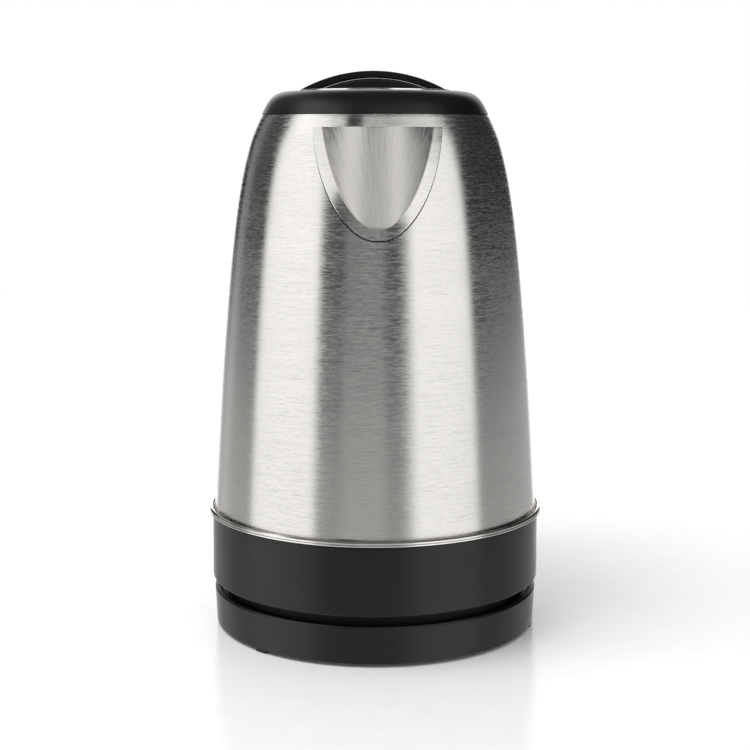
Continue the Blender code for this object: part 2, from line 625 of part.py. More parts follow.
def handle_fixings():
    """A bracket on the body at each end of the handle, and the screw that holds the handle to it."""
    for name, low, high, back in (("upper", 227.0, 231.8, 64.0), ("lower", 69.0, 86.0, 82.0)):
        bracket = block(f"handle_bracket_{name}", (-9, 45, low), (9, back, high), "polished_steel")
        combined(bracket, kettle_envelope("trim", GAP), "DIFFERENCE")
        centre = (0, (low + high) / 2)
        combined(bracket, rod("bore", centre, 1.7, back - 7.0, 100, "polished_steel", "Y", 12), "DIFFERENCE")
        screw = rod(f"handle_screw_{name}", centre, 1.35, back - 6.5, back + 1.0, "spring_steel", "Y", 12)
        combined(screw, rod("head", centre, 2.5, back + 0.5, back + 2.5, "spring_steel", "Y", 12), "UNION")
        combined(screw, rod("drive", centre, 1.2, back + 1.5, back + 5, "spring_steel", "Y", 6), "DIFFERENCE")


def handle_insides():
    """The steam tube, the steam switch at its lower end and the leads to it."""
    route = [(STEAM_X, 44.8, 237.0), (STEAM_X, 50.0, 237.2), (16.0, 57.5, 239.8), (12.5, 67.0, 240.0),
             (8, 80, 238.6), (3, 93, 232.5), (0, 103, 222.0), (0, 108.5, 205.0), (0, 110.0, 180.0),
             (0, 106.5, 150.0), (0, 100.5, 118.0), (0, 93.0, 92.0), (0, 87.5, 70.5)]
    tube("steam_tube", smoothed(route, 2), 2.4, "silicone", resolution=1)
    case = block("steam_switch", (-9.5, 79.5, 50.5), (9.5, 91.5, 68.0), "white_plastic")
    combined(case, rod("seat", (0, 61.0), 6.4, 86.9, 95, "white_plastic", "Y", sides=20), "DIFFERENCE")
    combined(case, block("guide", (-2.4, 82.2, 45), (2.4, 85.8, 53.8), "white_plastic"), "DIFFERENCE")
    rod("bimetal_disc", (0, 61.0), 6.0, 87.3, 87.9, "brass", "Y", sides=20)
    for side, x in (("left", -6.0), ("right", 6.0)):
        route = [(x, 26.5, 40.0), (x, 40.0, 38.0), (x, 58.0, 40.0)]
        route += [(x, 70.0, 45.6), (x, 77.5, 46.2), (x, 80.6, 50.2)]
        tube(f"switch_lead_{side}", smoothed(route, 3), 0.9, "wire_sleeve", resolution=0)


def switch_lever():
    """The on-off lever under the handle, its lens and the plunger that it works."""
    side = [(82.5, 42.2), (84.0, 41.2), (96.0, 38.6), (106.0, 36.8), (107.5, 38.2), (106.6, 40.6),
            (97.0, 43.6), (89.0, 47.0), (84.5, 47.2), (82.4, 45.6)]
    lever = prism("switch_lever", side, -9.8, 9.8, "dark_plastic", along="X", pivot=LEVER_PIVOT)
    bore = rod("bore", LEVER_PIVOT.yz, 1.45, -12, 12, "dark_plastic", pivot=LEVER_PIVOT)
    combined(lever, bore, "DIFFERENCE")
    seat = block("seat", (-3.6, 98.4, 38.4), (3.6, 103.6, 50), "dark_plastic", pivot=LEVER_PIVOT)
    combined(lever, seat, "DIFFERENCE")
    block("lever_lens", (-3.2, 98.8, 38.8), (3.2, 103.2, 41.4), "lens", pivot=LEVER_PIVOT)
    rod("lever_pin", LEVER_PIVOT.yz, 1.2, -17.5, 17.5, "spring_steel", sides=16)
    block("switch_plunger", (-2.0, 82.6, 47.7), (2.0, 85.4, 52.5), "white_plastic", pivot=(0, 84.0, 50.0))


def main():
    clear_scene()
    Kettle.axis = bpy.data.objects.new("kettle_axis", None)
    Kettle.axis.location = (0, AXIS_Y * MM, 0)
    bpy.context.scene.collection.objects.link(Kettle.axis)
    power_base()
    underside()
    heater()
    body_shell()
    spout()
    spout_filter()
    collar()
    lid()
    hinge()
    lid_release()
    handle()
    handle_fixings()
    handle_insides()
    switch_lever()


main()
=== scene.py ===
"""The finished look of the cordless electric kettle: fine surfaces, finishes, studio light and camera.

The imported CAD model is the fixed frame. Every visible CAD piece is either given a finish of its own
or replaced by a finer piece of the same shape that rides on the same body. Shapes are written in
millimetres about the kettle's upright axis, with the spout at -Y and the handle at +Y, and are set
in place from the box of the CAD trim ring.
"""

import json
import math

import bmesh
import bpy
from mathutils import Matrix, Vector


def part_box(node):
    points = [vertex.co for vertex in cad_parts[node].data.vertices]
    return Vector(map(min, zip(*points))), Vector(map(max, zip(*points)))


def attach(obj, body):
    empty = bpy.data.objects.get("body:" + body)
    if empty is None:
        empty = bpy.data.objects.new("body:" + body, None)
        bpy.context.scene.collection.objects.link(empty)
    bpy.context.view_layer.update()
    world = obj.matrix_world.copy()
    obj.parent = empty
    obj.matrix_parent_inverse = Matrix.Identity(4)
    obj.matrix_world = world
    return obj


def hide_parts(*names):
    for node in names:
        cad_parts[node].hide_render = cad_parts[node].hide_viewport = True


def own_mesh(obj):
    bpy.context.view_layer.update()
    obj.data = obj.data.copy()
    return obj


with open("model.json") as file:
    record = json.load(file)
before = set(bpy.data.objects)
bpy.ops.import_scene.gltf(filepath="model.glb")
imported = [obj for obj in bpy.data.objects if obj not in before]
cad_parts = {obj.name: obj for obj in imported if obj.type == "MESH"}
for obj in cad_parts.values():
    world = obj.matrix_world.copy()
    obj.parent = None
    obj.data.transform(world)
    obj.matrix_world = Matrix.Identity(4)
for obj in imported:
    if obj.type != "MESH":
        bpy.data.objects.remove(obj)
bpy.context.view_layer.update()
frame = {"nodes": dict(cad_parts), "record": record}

# ---- the kettle's measures, in millimetres, as in the CAD model ----
RING_RADIUS = 76.9
RING_LOW, RING_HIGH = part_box("trim_ring")
UNIT = (RING_HIGH.x - RING_LOW.x) / (2 * RING_RADIUS)      # metres to one of the kettle's millimetres
AXIS = Vector(((RING_LOW.x + RING_HIGH.x) / 2, (RING_LOW.y + RING_HIGH.y) / 2, 0.0))

FOOT_HEIGHT = 1.5
BASE_RADIUS = 74.5
BASE_TOP = 18.2
DECK = 16.7
HOUSING_RADIUS = 75.3
HOUSING_BOTTOM = 22.3
HOUSING_TOP = 52.6
RING_TOP = 55.8
STEEL = 0.8
PLATE_Z = 56.3
BODY_TOP = 232.0
COLLAR_TOP = 242.4
MOUTH_RADIUS = 38.3
LID_RADIUS = 37.5
LID_BACK = 27.0
HINGE = Vector((0, 30.0, 245.3))
BUTTON_Y = 63.0
CREST_ROUND = 62.0
CREST_TOP = 249.0
LIP_Z = 226.6
SPOUT_HALF_WIDTH = 22.9
SPOUT_HEIGHT = 41.8
SPOUT_REACH = 76.1
FLANGE_HALF_WIDTH = 27.1
FLANGE_HEIGHT = 46.5
FLANGE_RISE = 0.8              # how far the flange's inner edge stands out more than its outer one
SHADOW_LINE_WIDTH = 0.5               # how far the painted shadow line shows round the flange
LEVER_PIVOT = Vector((0, 86.0, 44.0))
FOOT_ANGLES = (-44, 76, 196)
GLAND_Z = 8.2
FOOT_PLACE = 67.6              # how far the feet are from the axis
TOE_REACH = 73.5               # how far out their toes show
GAP = 0.3
PLASTIC = 2.2                  # the wall of the base and of the lower housing
HANDLE_WALL = 2.7
KNUCKLE_RADIUS = 2.3
HINGE_BORE = 1.2
LUG_SIDES = (7.3, 11.6)        # where each lug of the lid begins and ends, from the middle
FORK_ROOM = ((-7.3, 25.8, 236), (7.3, 40, 247.8))      # what the lid leaves free for the hinge
FILTER_LOW = 185.5
FILTER_HIGH = 222.5
FILTER_RIM = 3.0
STEAM_X = 17.0                 # how far the steam port is from the middle
BODY_CURVE = ((56, 74.1), (115, 70.4), (168, 65.7), (200, 61.3), (220, 56.6), (231, 52.2))
# Along the handle: the crown's y and z, the half width, how far round the arched back goes (degrees),
# the height that the arch is drawn with, and the depth from the crown to the inner edge.
HANDLE_STATIONS = (
    (34.0, 253.2, 37.0, 31.4, 71.0, 17.0),
    (44.0, 253.2, 34.5, 37.0, 57.0, 24.0),
    (56.0, 253.0, 30.0, 46.0, 41.0, 30.5),
    (69.0, 251.6, 24.5, 61.0, 26.0, 29.0),
    (82.0, 248.0, 20.0, 76.0, 17.0, 24.5),
    (97.0, 240.6, 16.5, 88.0, 12.0, 23.0),
    (111.5, 226.0, 15.0, 90.0, 11.0, 24.0),
    (119.5, 205.0, 15.0, 90.0, 11.0, 25.0),
    (122.0, 180.0, 15.0, 90.0, 11.0, 25.0),
    (119.5, 150.0, 15.0, 90.0, 11.0, 25.0),
    (114.5, 122.0, 15.4, 90.0, 11.0, 26.0),
    (110.0, 104.0, 16.2, 89.0, 11.3, 30.0),
    (105.5, 87.0, 17.3, 88.0, 11.6, 38.0),
    (101.5, 70.0, 18.4, 87.0, 12.0, 41.0),
    (98.5, 54.0, 19.0, 86.0, 12.0, 34.0),
    (97.0, 38.0, 19.5, 86.0, 12.0, 26.0),
)

ROUND_SIDES = 192              # facets round a large turned piece


# ---- camera ----

CAMERA_DISTANCE = 0.6922       # level distance from the kettle's axis
CAMERA_HEIGHT = 0.2222
CAMERA_TURN = -1.2             # degrees round the axis, towards -X
CAMERA_DIP = 8.86              # degrees below level
LENS = 73.07


def placed(name, data):
    """A new object in the scene."""
    obj = bpy.data.objects.new(name, data)
    bpy.context.scene.collection.objects.link(obj)
    return obj


def make_camera():
    data = bpy.data.cameras.new("camera")
    data.lens = LENS
    data.sensor_width = 36.0
    data.clip_start = 0.01
    data.clip_end = 100.0
    camera = placed("camera", data)
    turn = math.radians(CAMERA_TURN)
    camera.location = AXIS + Vector((
        CAMERA_DISTANCE * math.sin(turn), -CAMERA_DISTANCE * math.cos(turn), CAMERA_HEIGHT))
    camera.rotation_euler = (math.radians(90 - CAMERA_DIP), 0, turn)
    bpy.context.scene.camera = camera


# ---- studio ----

# The light that comes level from each direction round the kettle, in degrees from the spout's side
# towards +X: two tall soft boxes, dim panels and dark studio between them, and a white wall behind.
STUDIO_ROUND = (
    (-180, 1.7), (-157, 1.6), (-154, 0.0), (-144, 0.0), (-141, 0.30), (-131, 0.24), (-126, 0.10),
    (-101, 0.07), (-95, 1.5), (-47, 1.5), (-41, 0.12), (-28, 0.07), (-21, 0.25), (4, 0.24), (9, 0.05),
    (17, 0.07), (21, 0.3), (29, 1.5), (73, 1.4), (79, 0.04), (152, 0.03), (156, 1.5), (180, 1.7),
)
# The light from a ring of lamps higher up, in the same way.
LAMP_RING = (
    (-180, 0.5), (-112, 0.4), (-96, 2.0), (-36, 1.5), (-33, 0.02), (-17, 0.02), (-13, 1.2), (68, 1.0),
    (80, 0.12), (150, 0.08), (180, 0.5),
)
# Where the lamps, the ceiling and the floor begin and where each is full, as shares of the way from
# straight down to straight up.
LAMPS_EDGE = (0.78, 0.815)
CEILING_EDGE = (0.88, 0.915)
FLOOR_EDGE = (0.50, 0.44)
CEILING_LIGHT = 0.14
FLOOR_LIGHT = 0.58
FLOOR_ECHO = 0.5               # the share of the level light that the floor adds to its own
BRIGHTEST = 2.0                # what a colour ramp's white stands for
FILL_LIGHT = 0.71              # the even light that matt surfaces get from all round

KEY_PLACE = Vector((-0.75, -0.45, 1.45))
KEY_AIM = Vector((0, 0, 0.1))
KEY_SIZE = 1.2
KEY_POWER = 16.0

FLOOR_SIZE = 24.0
FLOOR_GREYS = (0.89, 0.91)
FLOOR_ROUGHNESS = 0.20
FLOOR_SHINE = 0.20
FLOOR_FADE = (0.7, 1.6)        # metres from the middle, between which the floor turns plain white


def feed(tree, made, inputs):
    """Sets a node's inputs, by name or number, to values, or joins them to outputs of other nodes."""
    for key, value in dict(inputs).items():
        if isinstance(value, bpy.types.NodeSocket):
            tree.links.new(value, made.inputs[key])
        else:
            made.inputs[key].default_value = value


def node(tree, kind, inputs=(), **settings):
    made = tree.nodes.new(kind)
    for name, value in settings.items():
        setattr(made, name, value)
    feed(tree, made, inputs)
    return made


def math_node(tree, operation, a, b, c=0.0):
    return node(tree, "ShaderNodeMath", {0: a, 1: b, 2: c}, operation=operation).outputs[0]


def ramp(tree, value, stops, smooth="LINEAR"):
    """A colour ramp of (place, grey or colour) stops."""
    made = tree.nodes.new("ShaderNodeValToRGB")
    made.color_ramp.interpolation = smooth
    elements = made.color_ramp.elements
    while len(elements) < len(stops):
        elements.new(0.5)
    for element, (place, shade) in zip(elements, stops):
        element.position = place
        element.color = (*shade, 1) if isinstance(shade, tuple) else (shade, shade, shade, 1)
    tree.links.new(value, made.inputs[0])
    return made.outputs[0]


def mixed_values(tree, share, a, b):
    """a, with that share of b mixed in."""
    return node(tree, "ShaderNodeMix", {0: share, 2: a, 3: b}).outputs[0]


def mixed_shaders(tree, share, a, b):
    return node(tree, "ShaderNodeMixShader", {0: share, 1: a, 2: b}).outputs[0]


def light_round(tree, share, lights):
    """The light of one list of directions, where share goes once round the kettle."""
    stops = [((degrees + 180) / 360, light / BRIGHTEST) for degrees, light in lights]
    return math_node(tree, "MULTIPLY", ramp(tree, share, stops), BRIGHTEST)


def glow(tree, kind, strength):
    """Even white light, from a background or an emission node."""
    return node(tree, kind, {"Color": (1, 1, 1, 1), "Strength": strength}).outputs[0]


def make_world():
    world = bpy.data.worlds.new("studio")
    bpy.context.scene.world = world
    world.use_nodes = True
    tree = world.node_tree
    tree.nodes.clear()
    place = node(tree, "ShaderNodeTexCoord").outputs["Generated"]
    axes = node(tree, "ShaderNodeSeparateXYZ", {0: place}).outputs
    back = math_node(tree, "MULTIPLY", axes["Y"], -1.0)
    turn = math_node(tree, "ARCTAN2", axes["X"], back)
    share = math_node(tree, "MULTIPLY_ADD", turn, 1 / math.tau, 0.5)
    level = light_round(tree, share, STUDIO_ROUND)
    lamps = light_round(tree, share, LAMP_RING)
    below = math_node(tree, "MULTIPLY_ADD", level, FLOOR_ECHO, FLOOR_LIGHT)
    height = math_node(tree, "MULTIPLY_ADD", axes["Z"], 0.5, 0.5)
    raised = ramp(tree, height, [(LAMPS_EDGE[0], 0.0), (LAMPS_EDGE[1], 1.0)])
    upward = ramp(tree, height, [(CEILING_EDGE[0], 0.0), (CEILING_EDGE[1], 1.0)])
    downward = ramp(tree, height, [(FLOOR_EDGE[1], 1.0), (FLOOR_EDGE[0], 0.0)])
    shade = mixed_values(tree, raised, level, lamps)
    shade = mixed_values(tree, upward, shade, CEILING_LIGHT)
    shade = mixed_values(tree, downward, shade, below)
    studio = node(tree, "ShaderNodeBackground", {"Color": shade, "Strength": 1.0}).outputs[0]
    soft = glow(tree, "ShaderNodeBackground", FILL_LIGHT)
    white = glow(tree, "ShaderNodeBackground", 1.0)
    path = node(tree, "ShaderNodeLightPath").outputs
    mixed = mixed_shaders(tree, path["Is Diffuse Ray"], studio, soft)
    mixed = mixed_shaders(tree, path["Is Camera Ray"], mixed, white)
    node(tree, "ShaderNodeOutputWorld", {"Surface": mixed})


def make_key_light():
    """A soft box over the left front, which shows in no reflection."""
    data = bpy.data.lights.new("key", "AREA")
    data.size = KEY_SIZE
    data.energy = KEY_POWER
    light = placed("key", data)
    light.visible_glossy = False
    light.location = KEY_PLACE
    light.rotation_euler = (KEY_AIM - KEY_PLACE).to_track_quat("-Z", "Y").to_euler()


def make_floor():
    """A white floor that fades away further out, and that is clear from below."""
    bpy.ops.mesh.primitive_plane_add(size=FLOOR_SIZE, location=(0, 0, 0))
    floor = bpy.context.object
    floor.name = "floor"
    paint, tree, shader = finish_base("floor_paint")
    where = node(tree, "ShaderNodeTexCoord").outputs["Object"]
    grain = stretched_noise(tree, where, (1, 1, 1), 90.0, 3.0)
    greys = ramp(tree, grain, [(0.3, FLOOR_GREYS[0]), (0.7, FLOOR_GREYS[1])])
    feed(tree, shader, {
        "Base Color": greys, "Roughness": FLOOR_ROUGHNESS, "Specular IOR Level": FLOOR_SHINE})
    reach = node(tree, "ShaderNodeVectorMath", {0: where}, operation="LENGTH").outputs["Value"]
    reach = math_node(tree, "MULTIPLY", reach, 0.5)
    far = ramp(tree, reach, [(0.5 * FLOOR_FADE[0], 0.0), (0.5 * FLOOR_FADE[1], 1.0)], "EASE")
    white = glow(tree, "ShaderNodeEmission", 1.0)
    mixed = mixed_shaders(tree, far, shader.outputs[0], white)
    below = node(tree, "ShaderNodeNewGeometry").outputs["Backfacing"]
    clear = node(tree, "ShaderNodeBsdfTransparent").outputs[0]
    mixed = mixed_shaders(tree, below, mixed, clear)
    tree.links.new(mixed, tree.nodes["Material Output"].inputs["Surface"])
    floor.data.materials.append(paint)
    floor.visible_glossy = False


# ---- shapes ----

def at(x, y, z):
    """A place in the world, in metres, from millimetres about the kettle's axis."""
    return AXIS + Vector((x, y, z)) * UNIT


def soften(profile, radius, closed=True, steps=4):
    """A profile whose corners are rounded by about that radius, as far as its sides are long enough."""
    count = len(profile)
    found = []
    for i, corner in enumerate(profile):
        here = Vector(corner)
        if not closed and i in (0, count - 1):
            found.append(tuple(here))
            continue
        before, after = Vector(profile[i - 1]) - here, Vector(profile[(i + 1) % count]) - here
        turn = before.angle(after, math.pi) if before.length > 1e-9 and after.length > 1e-9 else math.pi
        if turn > math.radians(165):
            found.append(tuple(here))
            continue
        taken = min(radius / math.tan(turn / 2), before.length * 0.45, after.length * 0.45)
        first, last = here + before.normalized() * taken, here + after.normalized() * taken
        for step in range(steps + 1):
            t = step / steps
            found.append(tuple(first * (1 - t) ** 2 + here * 2 * t * (1 - t) + last * t * t))
    return found


def bezier(p0, p1, p2, p3, steps):
    points = []
    for i in range(steps + 1):
        t = i / steps
        weights = ((1 - t) ** 3, 3 * t * (1 - t) ** 2, 3 * t * t * (1 - t), t ** 3)
        points.append(tuple(sum(w * p[k] for w, p in zip(weights, (p0, p1, p2, p3)))
                            for k in range(len(p0))))
    return points


def smoothed(points, parts):
    """A Catmull-Rom curve through points, with that many parts between each two."""
    ends = [points[0], *points, points[-1]]
    found = []
    for i in range(1, len(ends) - 2):
        a, b, c, d = ends[i - 1:i + 3]
        for step in range(parts):
            t = step / parts
            found.append(tuple(
                0.5 * (2 * q + (r - p) * t + (2 * p - 5 * q + 4 * r - s) * t ** 2
                       + (3 * q - p - 3 * r + s) * t ** 3)
                for p, q, r, s in zip(a, b, c, d)))
    return found + [tuple(points[-1])]


def arc(centre, radius, start, end, steps):
    angles = [math.radians(start + (end - start) * i / steps) for i in range(steps + 1)]
    return [(centre[0] + radius * math.cos(a), centre[1] + radius * math.sin(a)) for a in angles]


def spot(radius, degrees):
    """A place at a radius, that many degrees round from the spout's side towards +X."""
    return radius * math.sin(math.radians(degrees)), -radius * math.cos(math.radians(degrees))


def body_points(parts=8):
    return smoothed(BODY_CURVE, parts)


BODY_TABLE = body_points(2)


def body_radius(z):
    if z <= BODY_TABLE[0][0]:
        return BODY_TABLE[0][1]
    for (z0, r0), (z1, r1) in zip(BODY_TABLE, BODY_TABLE[1:]):
        if z <= z1:
            return r0 + (r1 - r0) * (z - z0) / (z1 - z0)
    return BODY_TABLE[-1][1]


def raw(name, shape):
    """An object from a bmesh in the kettle's millimetres, which carries no finish yet."""
    bmesh.ops.recalc_face_normals(shape, faces=shape.faces)
    for vertex in shape.verts:
        vertex.co = at(*vertex.co)
    mesh = bpy.data.meshes.new(name)
    shape.to_mesh(mesh)
    shape.free()
    return placed(name, mesh)


def revolved(name, profile, centre=(0, 0), sides=ROUND_SIDES):
    """A profile of (radius, height) points turned round an upright axis, as finely as asked."""
    shape = bmesh.new()
    solid = profile[0][0] == 0
    turns = [math.tau * i / sides for i in range(sides)]
    rings = []
    for radius, height in profile:
        if radius < 1e-6:
            rings.append([shape.verts.new((centre[0], centre[1], height))])
            continue
        places = [(centre[0] + radius * math.cos(a), centre[1] + radius * math.sin(a)) for a in turns]
        rings.append([shape.verts.new((x, y, height)) for x, y in places])
    pairs = list(zip(rings, rings[1:])) + ([] if solid else [(rings[-1], rings[0])])
    for a, b in pairs:
        for i in range(sides):
            j = (i + 1) % sides
            corners = [a[i % len(a)], a[j % len(a)], b[j % len(b)], b[i % len(b)]]
            corners = list(dict.fromkeys(corners))
            if len(corners) > 2:
                shape.faces.new(corners)
    return raw(name, shape)


def prism(name, outline, low, high, along="Z"):
    shape = bmesh.new()
    place = {
        "Z": lambda u, v, w: (u, v, w),
        "Y": lambda u, v, w: (u, w, v),
        "X": lambda u, v, w: (w, u, v),
    }[along]
    bottom = [shape.verts.new(place(u, v, low)) for u, v in outline]
    top = [shape.verts.new(place(u, v, high)) for u, v in outline]
    shape.faces.new(bottom)
    shape.faces.new(top[::-1])
    for i in range(len(outline)):
        j = (i + 1) % len(outline)
        shape.faces.new((bottom[i], bottom[j], top[j], top[i]))
    return raw(name, shape)


def block(name, low, high):
    outline = [(low[0], low[1]), (high[0], low[1]), (high[0], high[1]), (low[0], high[1])]
    return prism(name, outline, low[2], high[2])


def rod(name, centre, radius, low, high, along="X", sides=48):
    return prism(name, arc(centre, radius, 0, 360, sides)[:-1], low, high, along)


def lofted(name, rings):
    shape = bmesh.new()
    loops = [[shape.verts.new(p) for p in ring] for ring in rings]
    count = len(rings[0])
    for a, b in zip(loops, loops[1:]):
        for i in range(count):
            j = (i + 1) % count
            shape.faces.new((a[i], a[j], b[j], b[i]))
    shape.faces.new(loops[0])
    shape.faces.new(loops[-1][::-1])
    return raw(name, shape)


def wound(name, points, radius, resolution=4):
    """A round wire or hose along points, as a mesh."""
    curve = bpy.data.curves.new(name, "CURVE")
    curve.dimensions = "3D"
    curve.bevel_depth = radius * UNIT
    curve.bevel_resolution = resolution
    curve.use_fill_caps = True
    spline = curve.splines.new("POLY")
    spline.points.add(len(points) - 1)
    for place, point in zip(spline.points, points):
        place.co = (*at(*point), 1)
    drawn = placed(name, curve)
    bpy.context.view_layer.update()
    mesh = bpy.data.meshes.new_from_object(drawn.evaluated_get(bpy.context.evaluated_depsgraph_get()))
    bpy.data.objects.remove(drawn)
    return placed(name, mesh)


def combined(obj, other, operation):
    """Changes obj by a Boolean with other, which is used up."""
    bpy.context.view_layer.update()
    step = obj.modifiers.new("shape", "BOOLEAN")
    step.operation = operation
    step.solver = "EXACT"
    step.object = other
    bpy.context.view_layer.update()
    result = bpy.data.meshes.new_from_object(obj.evaluated_get(bpy.context.evaluated_depsgraph_get()))
    obj.modifiers.clear()
    obj.data = result
    bpy.data.objects.remove(other)


def cut(obj, tool):
    combined(obj, tool, "DIFFERENCE")


def join(obj, other):
    combined(obj, other, "UNION")


def piece(obj, body, slot_name, *nodes, finish=None, bevel=0.0, sharp=35.0):
    """Finishes a piece: its finish, its soft edges, the body it rides on and what it stands for."""
    mesh = obj.data
    mesh.materials.clear()
    mesh.materials.append(finish or FINISHES[slot_name])
    mesh.shade_smooth()
    if bevel:
        edge = obj.modifiers.new("soft edges", "BEVEL")
        edge.width = bevel * UNIT
        edge.segments = 3
        edge.limit_method = "ANGLE"
        edge.angle_limit = math.radians(sharp)
        edge.use_clamp_overlap = True
        edge.harden_normals = False
    else:
        mesh.set_sharp_from_angle(angle=math.radians(sharp))
    normals = obj.modifiers.new("even shading", "WEIGHTED_NORMAL")
    normals.keep_sharp = True
    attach(obj, body)
    if nodes:
        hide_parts(*nodes)


# ---- finishes ----

FAN_Z = LIP_Z - SPOUT_HEIGHT - 12      # where the beak's scratches fan out from
FAN_SPREAD = 0.045             # metres of scratch pattern to one of the fan's slope


def finish_base(name):
    made = bpy.data.materials.new(name)
    made.use_nodes = True
    return made, made.node_tree, made.node_tree.nodes["Principled BSDF"]


def axis_place(tree):
    """Where a point of the surface is, in metres about the kettle's axis."""
    where = node(tree, "ShaderNodeNewGeometry").outputs["Position"]
    return node(tree, "ShaderNodeVectorMath", {0: where, 1: tuple(-AXIS)}, operation="ADD").outputs[0]


def shaded(tint, share):
    return tuple(min(1.0, c * share) for c in tint)


def relief(tree, strength, depth, height):
    """The normal of a fine relief, whose depth is in metres."""
    bump = node(tree, "ShaderNodeBump", {"Strength": strength, "Distance": depth, "Height": height})
    return bump.outputs[0]


def stretched_noise(tree, where, scale, amount, detail, rough=0.5):
    """Noise with its own scale along each axis."""
    where = node(tree, "ShaderNodeMapping", {"Vector": where, "Scale": scale}).outputs[0]
    return node(tree, "ShaderNodeTexNoise", {
        "Vector": where, "Scale": amount, "Detail": detail, "Roughness": rough}).outputs["Fac"]


def brushed_steel(name, around=True, tint=(0.62, 0.605, 0.585), rough=0.22):
    """Stainless steel with fine scratches, which run round the body or fan out from the beak's foot."""
    made, tree, shader = finish_base(name)
    where = axis_place(tree)
    if not around:
        axes = node(tree, "ShaderNodeSeparateXYZ", {0: where}).outputs
        height = math_node(tree, "SUBTRACT", axes["Z"], FAN_Z * UNIT)
        fan = math_node(tree, "DIVIDE", axes["X"], height)
        along = math_node(tree, "MULTIPLY", axes["Z"], 0.25)
        across = math_node(tree, "MULTIPLY", fan, FAN_SPREAD)
        where = node(tree, "ShaderNodeCombineXYZ", {0: along, 1: axes["Y"], 2: across}).outputs[0]
    fine = stretched_noise(tree, where, (300, 300, 2600), 1.0, 2.0, 0.6)
    coarse = stretched_noise(tree, where, (60, 60, 1500), 1.0, 3.0, 0.6)
    patch = stretched_noise(tree, where, (26, 26, 70), 1.0, 3.0, 0.55)
    streak = mixed_values(tree, 0.38, fine, coarse)
    shade = ramp(tree, streak, [(0.36, shaded(tint, 0.84)), (0.5, tint), (0.64, shaded(tint, 1.10))])
    scratches = stretched_noise(tree, where, (70, 70, 2300), 1.0, 1.0, 0.5)
    marks = ramp(tree, scratches, [(0.0, 1.0), (0.60, 1.0), (0.68, 0.90)])
    shade = node(tree, "ShaderNodeVectorMath", {0: shade, 1: marks}, operation="MULTIPLY").outputs[0]
    mixed = mixed_values(tree, 0.15, streak, patch)
    feed(tree, shader, {
        "Base Color": shade,
        "Roughness": ramp(tree, mixed, [(0.38, rough - 0.08), (0.62, rough + 0.11)]),
        "Metallic": 1.0,
        "Anisotropic": 0.88 if around else 0.5,
        "Anisotropic Rotation": 0.25 if around else 0.0,
        "Tangent": node(tree, "ShaderNodeTangent", direction_type="RADIAL", axis="Z").outputs[0],
        "Normal": relief(tree, 0.24, 0.00006, streak)})
    return made


def polished_metal(name, tint, rough, grain_size=900.0, grain=0.08):
    """Bright metal with faint wipe marks."""
    made, tree, shader = finish_base(name)
    where = axis_place(tree)
    marks = stretched_noise(tree, where, (1, 1, 1), grain_size, 4.0, 0.6)
    cloud = stretched_noise(tree, where, (1, 1, 1), 60.0, 3.0, 0.5)
    feed(tree, shader, {
        "Base Color": ramp(tree, cloud, [(0.35, shaded(tint, 0.88)), (0.65, tint)]),
        "Roughness": ramp(tree, marks, [(0.3, rough * 0.75), (0.7, rough * 1.4)]),
        "Metallic": 1.0,
        "Normal": relief(tree, grain, 0.00004, marks)})
    return made


def moulded(name, tint, rough, grain_size, grain, specular=0.5, sheen=0.0):
    """Moulded plastic or rubber: a fine grain and slow cloudiness in tint and gloss."""
    made, tree, shader = finish_base(name)
    where = axis_place(tree)
    grains = stretched_noise(tree, where, (1, 1, 1), grain_size, 2.0, 0.5)
    cloud = stretched_noise(tree, where, (1, 1, 1.6), 34.0, 4.0, 0.55)
    mixed = mixed_values(tree, 0.65, grains, cloud)
    feed(tree, shader, {
        "Base Color": ramp(tree, cloud, [(0.3, shaded(tint, 0.86)), (0.7, shaded(tint, 1.16))]),
        "Roughness": ramp(tree, mixed, [(0.34, rough - 0.05), (0.66, rough + 0.06)]),
        "Specular IOR Level": specular,
        "Sheen Weight": sheen,
        "Normal": relief(tree, grain, 0.00005, grains)})
    return made


def lens_plastic(name):
    """Clear red plastic with fine ribs."""
    made, tree, shader = finish_base(name)
    where = axis_place(tree)
    ribs = stretched_noise(tree, where, (1, 3, 1), 700.0, 1.0)
    feed(tree, shader, {
        "Base Color": ramp(tree, ribs, [(0.3, (0.62, 0.07, 0.03)), (0.7, (0.80, 0.13, 0.05))]),
        "Roughness": 0.12,
        "Transmission Weight": 0.35,
        "Coat Weight": 0.5})
    return made


# The finish of each material slot, and four that some pieces have instead.
FINISHES = {
    "brushed_steel": brushed_steel("steel_round"),
    "polished_steel": polished_metal("steel_polished", (0.74, 0.73, 0.71), 0.13),
    "black_plastic": moulded("black_satin", (0.003, 0.003, 0.0034), 0.34, 2200.0, 0.07, 0.40),
    "dark_plastic": moulded("black_matt", (0.006, 0.006, 0.0065), 0.55, 1500.0, 0.20, 0.25),
    "white_plastic": moulded("natural_plastic", (0.74, 0.73, 0.69), 0.48, 1500.0, 0.12),
    "rubber": moulded("rubber", (0.022, 0.022, 0.022), 0.75, 1200.0, 0.25, 0.35),
    "silicone": moulded("silicone", (0.72, 0.72, 0.68), 0.55, 1200.0, 0.12, 0.4, 0.1),
    "aluminium": polished_metal("aluminium", (0.74, 0.74, 0.75), 0.38, 1800.0),
    "brass": polished_metal("brass", (0.74, 0.53, 0.25), 0.26),
    "spring_steel": polished_metal("spring_steel", (0.50, 0.50, 0.51), 0.28),
    "wire_sleeve": moulded("sleeve", (0.50, 0.07, 0.045), 0.5, 1800.0, 0.3),
    "lens": lens_plastic("lens_red"),
}
STEEL_BEAK = brushed_steel("steel_beak", around=False, tint=(0.57, 0.555, 0.535), rough=0.40)
STEEL_RING = polished_metal("steel_ring", (0.78, 0.765, 0.74), 0.13, 900.0, 0.01)
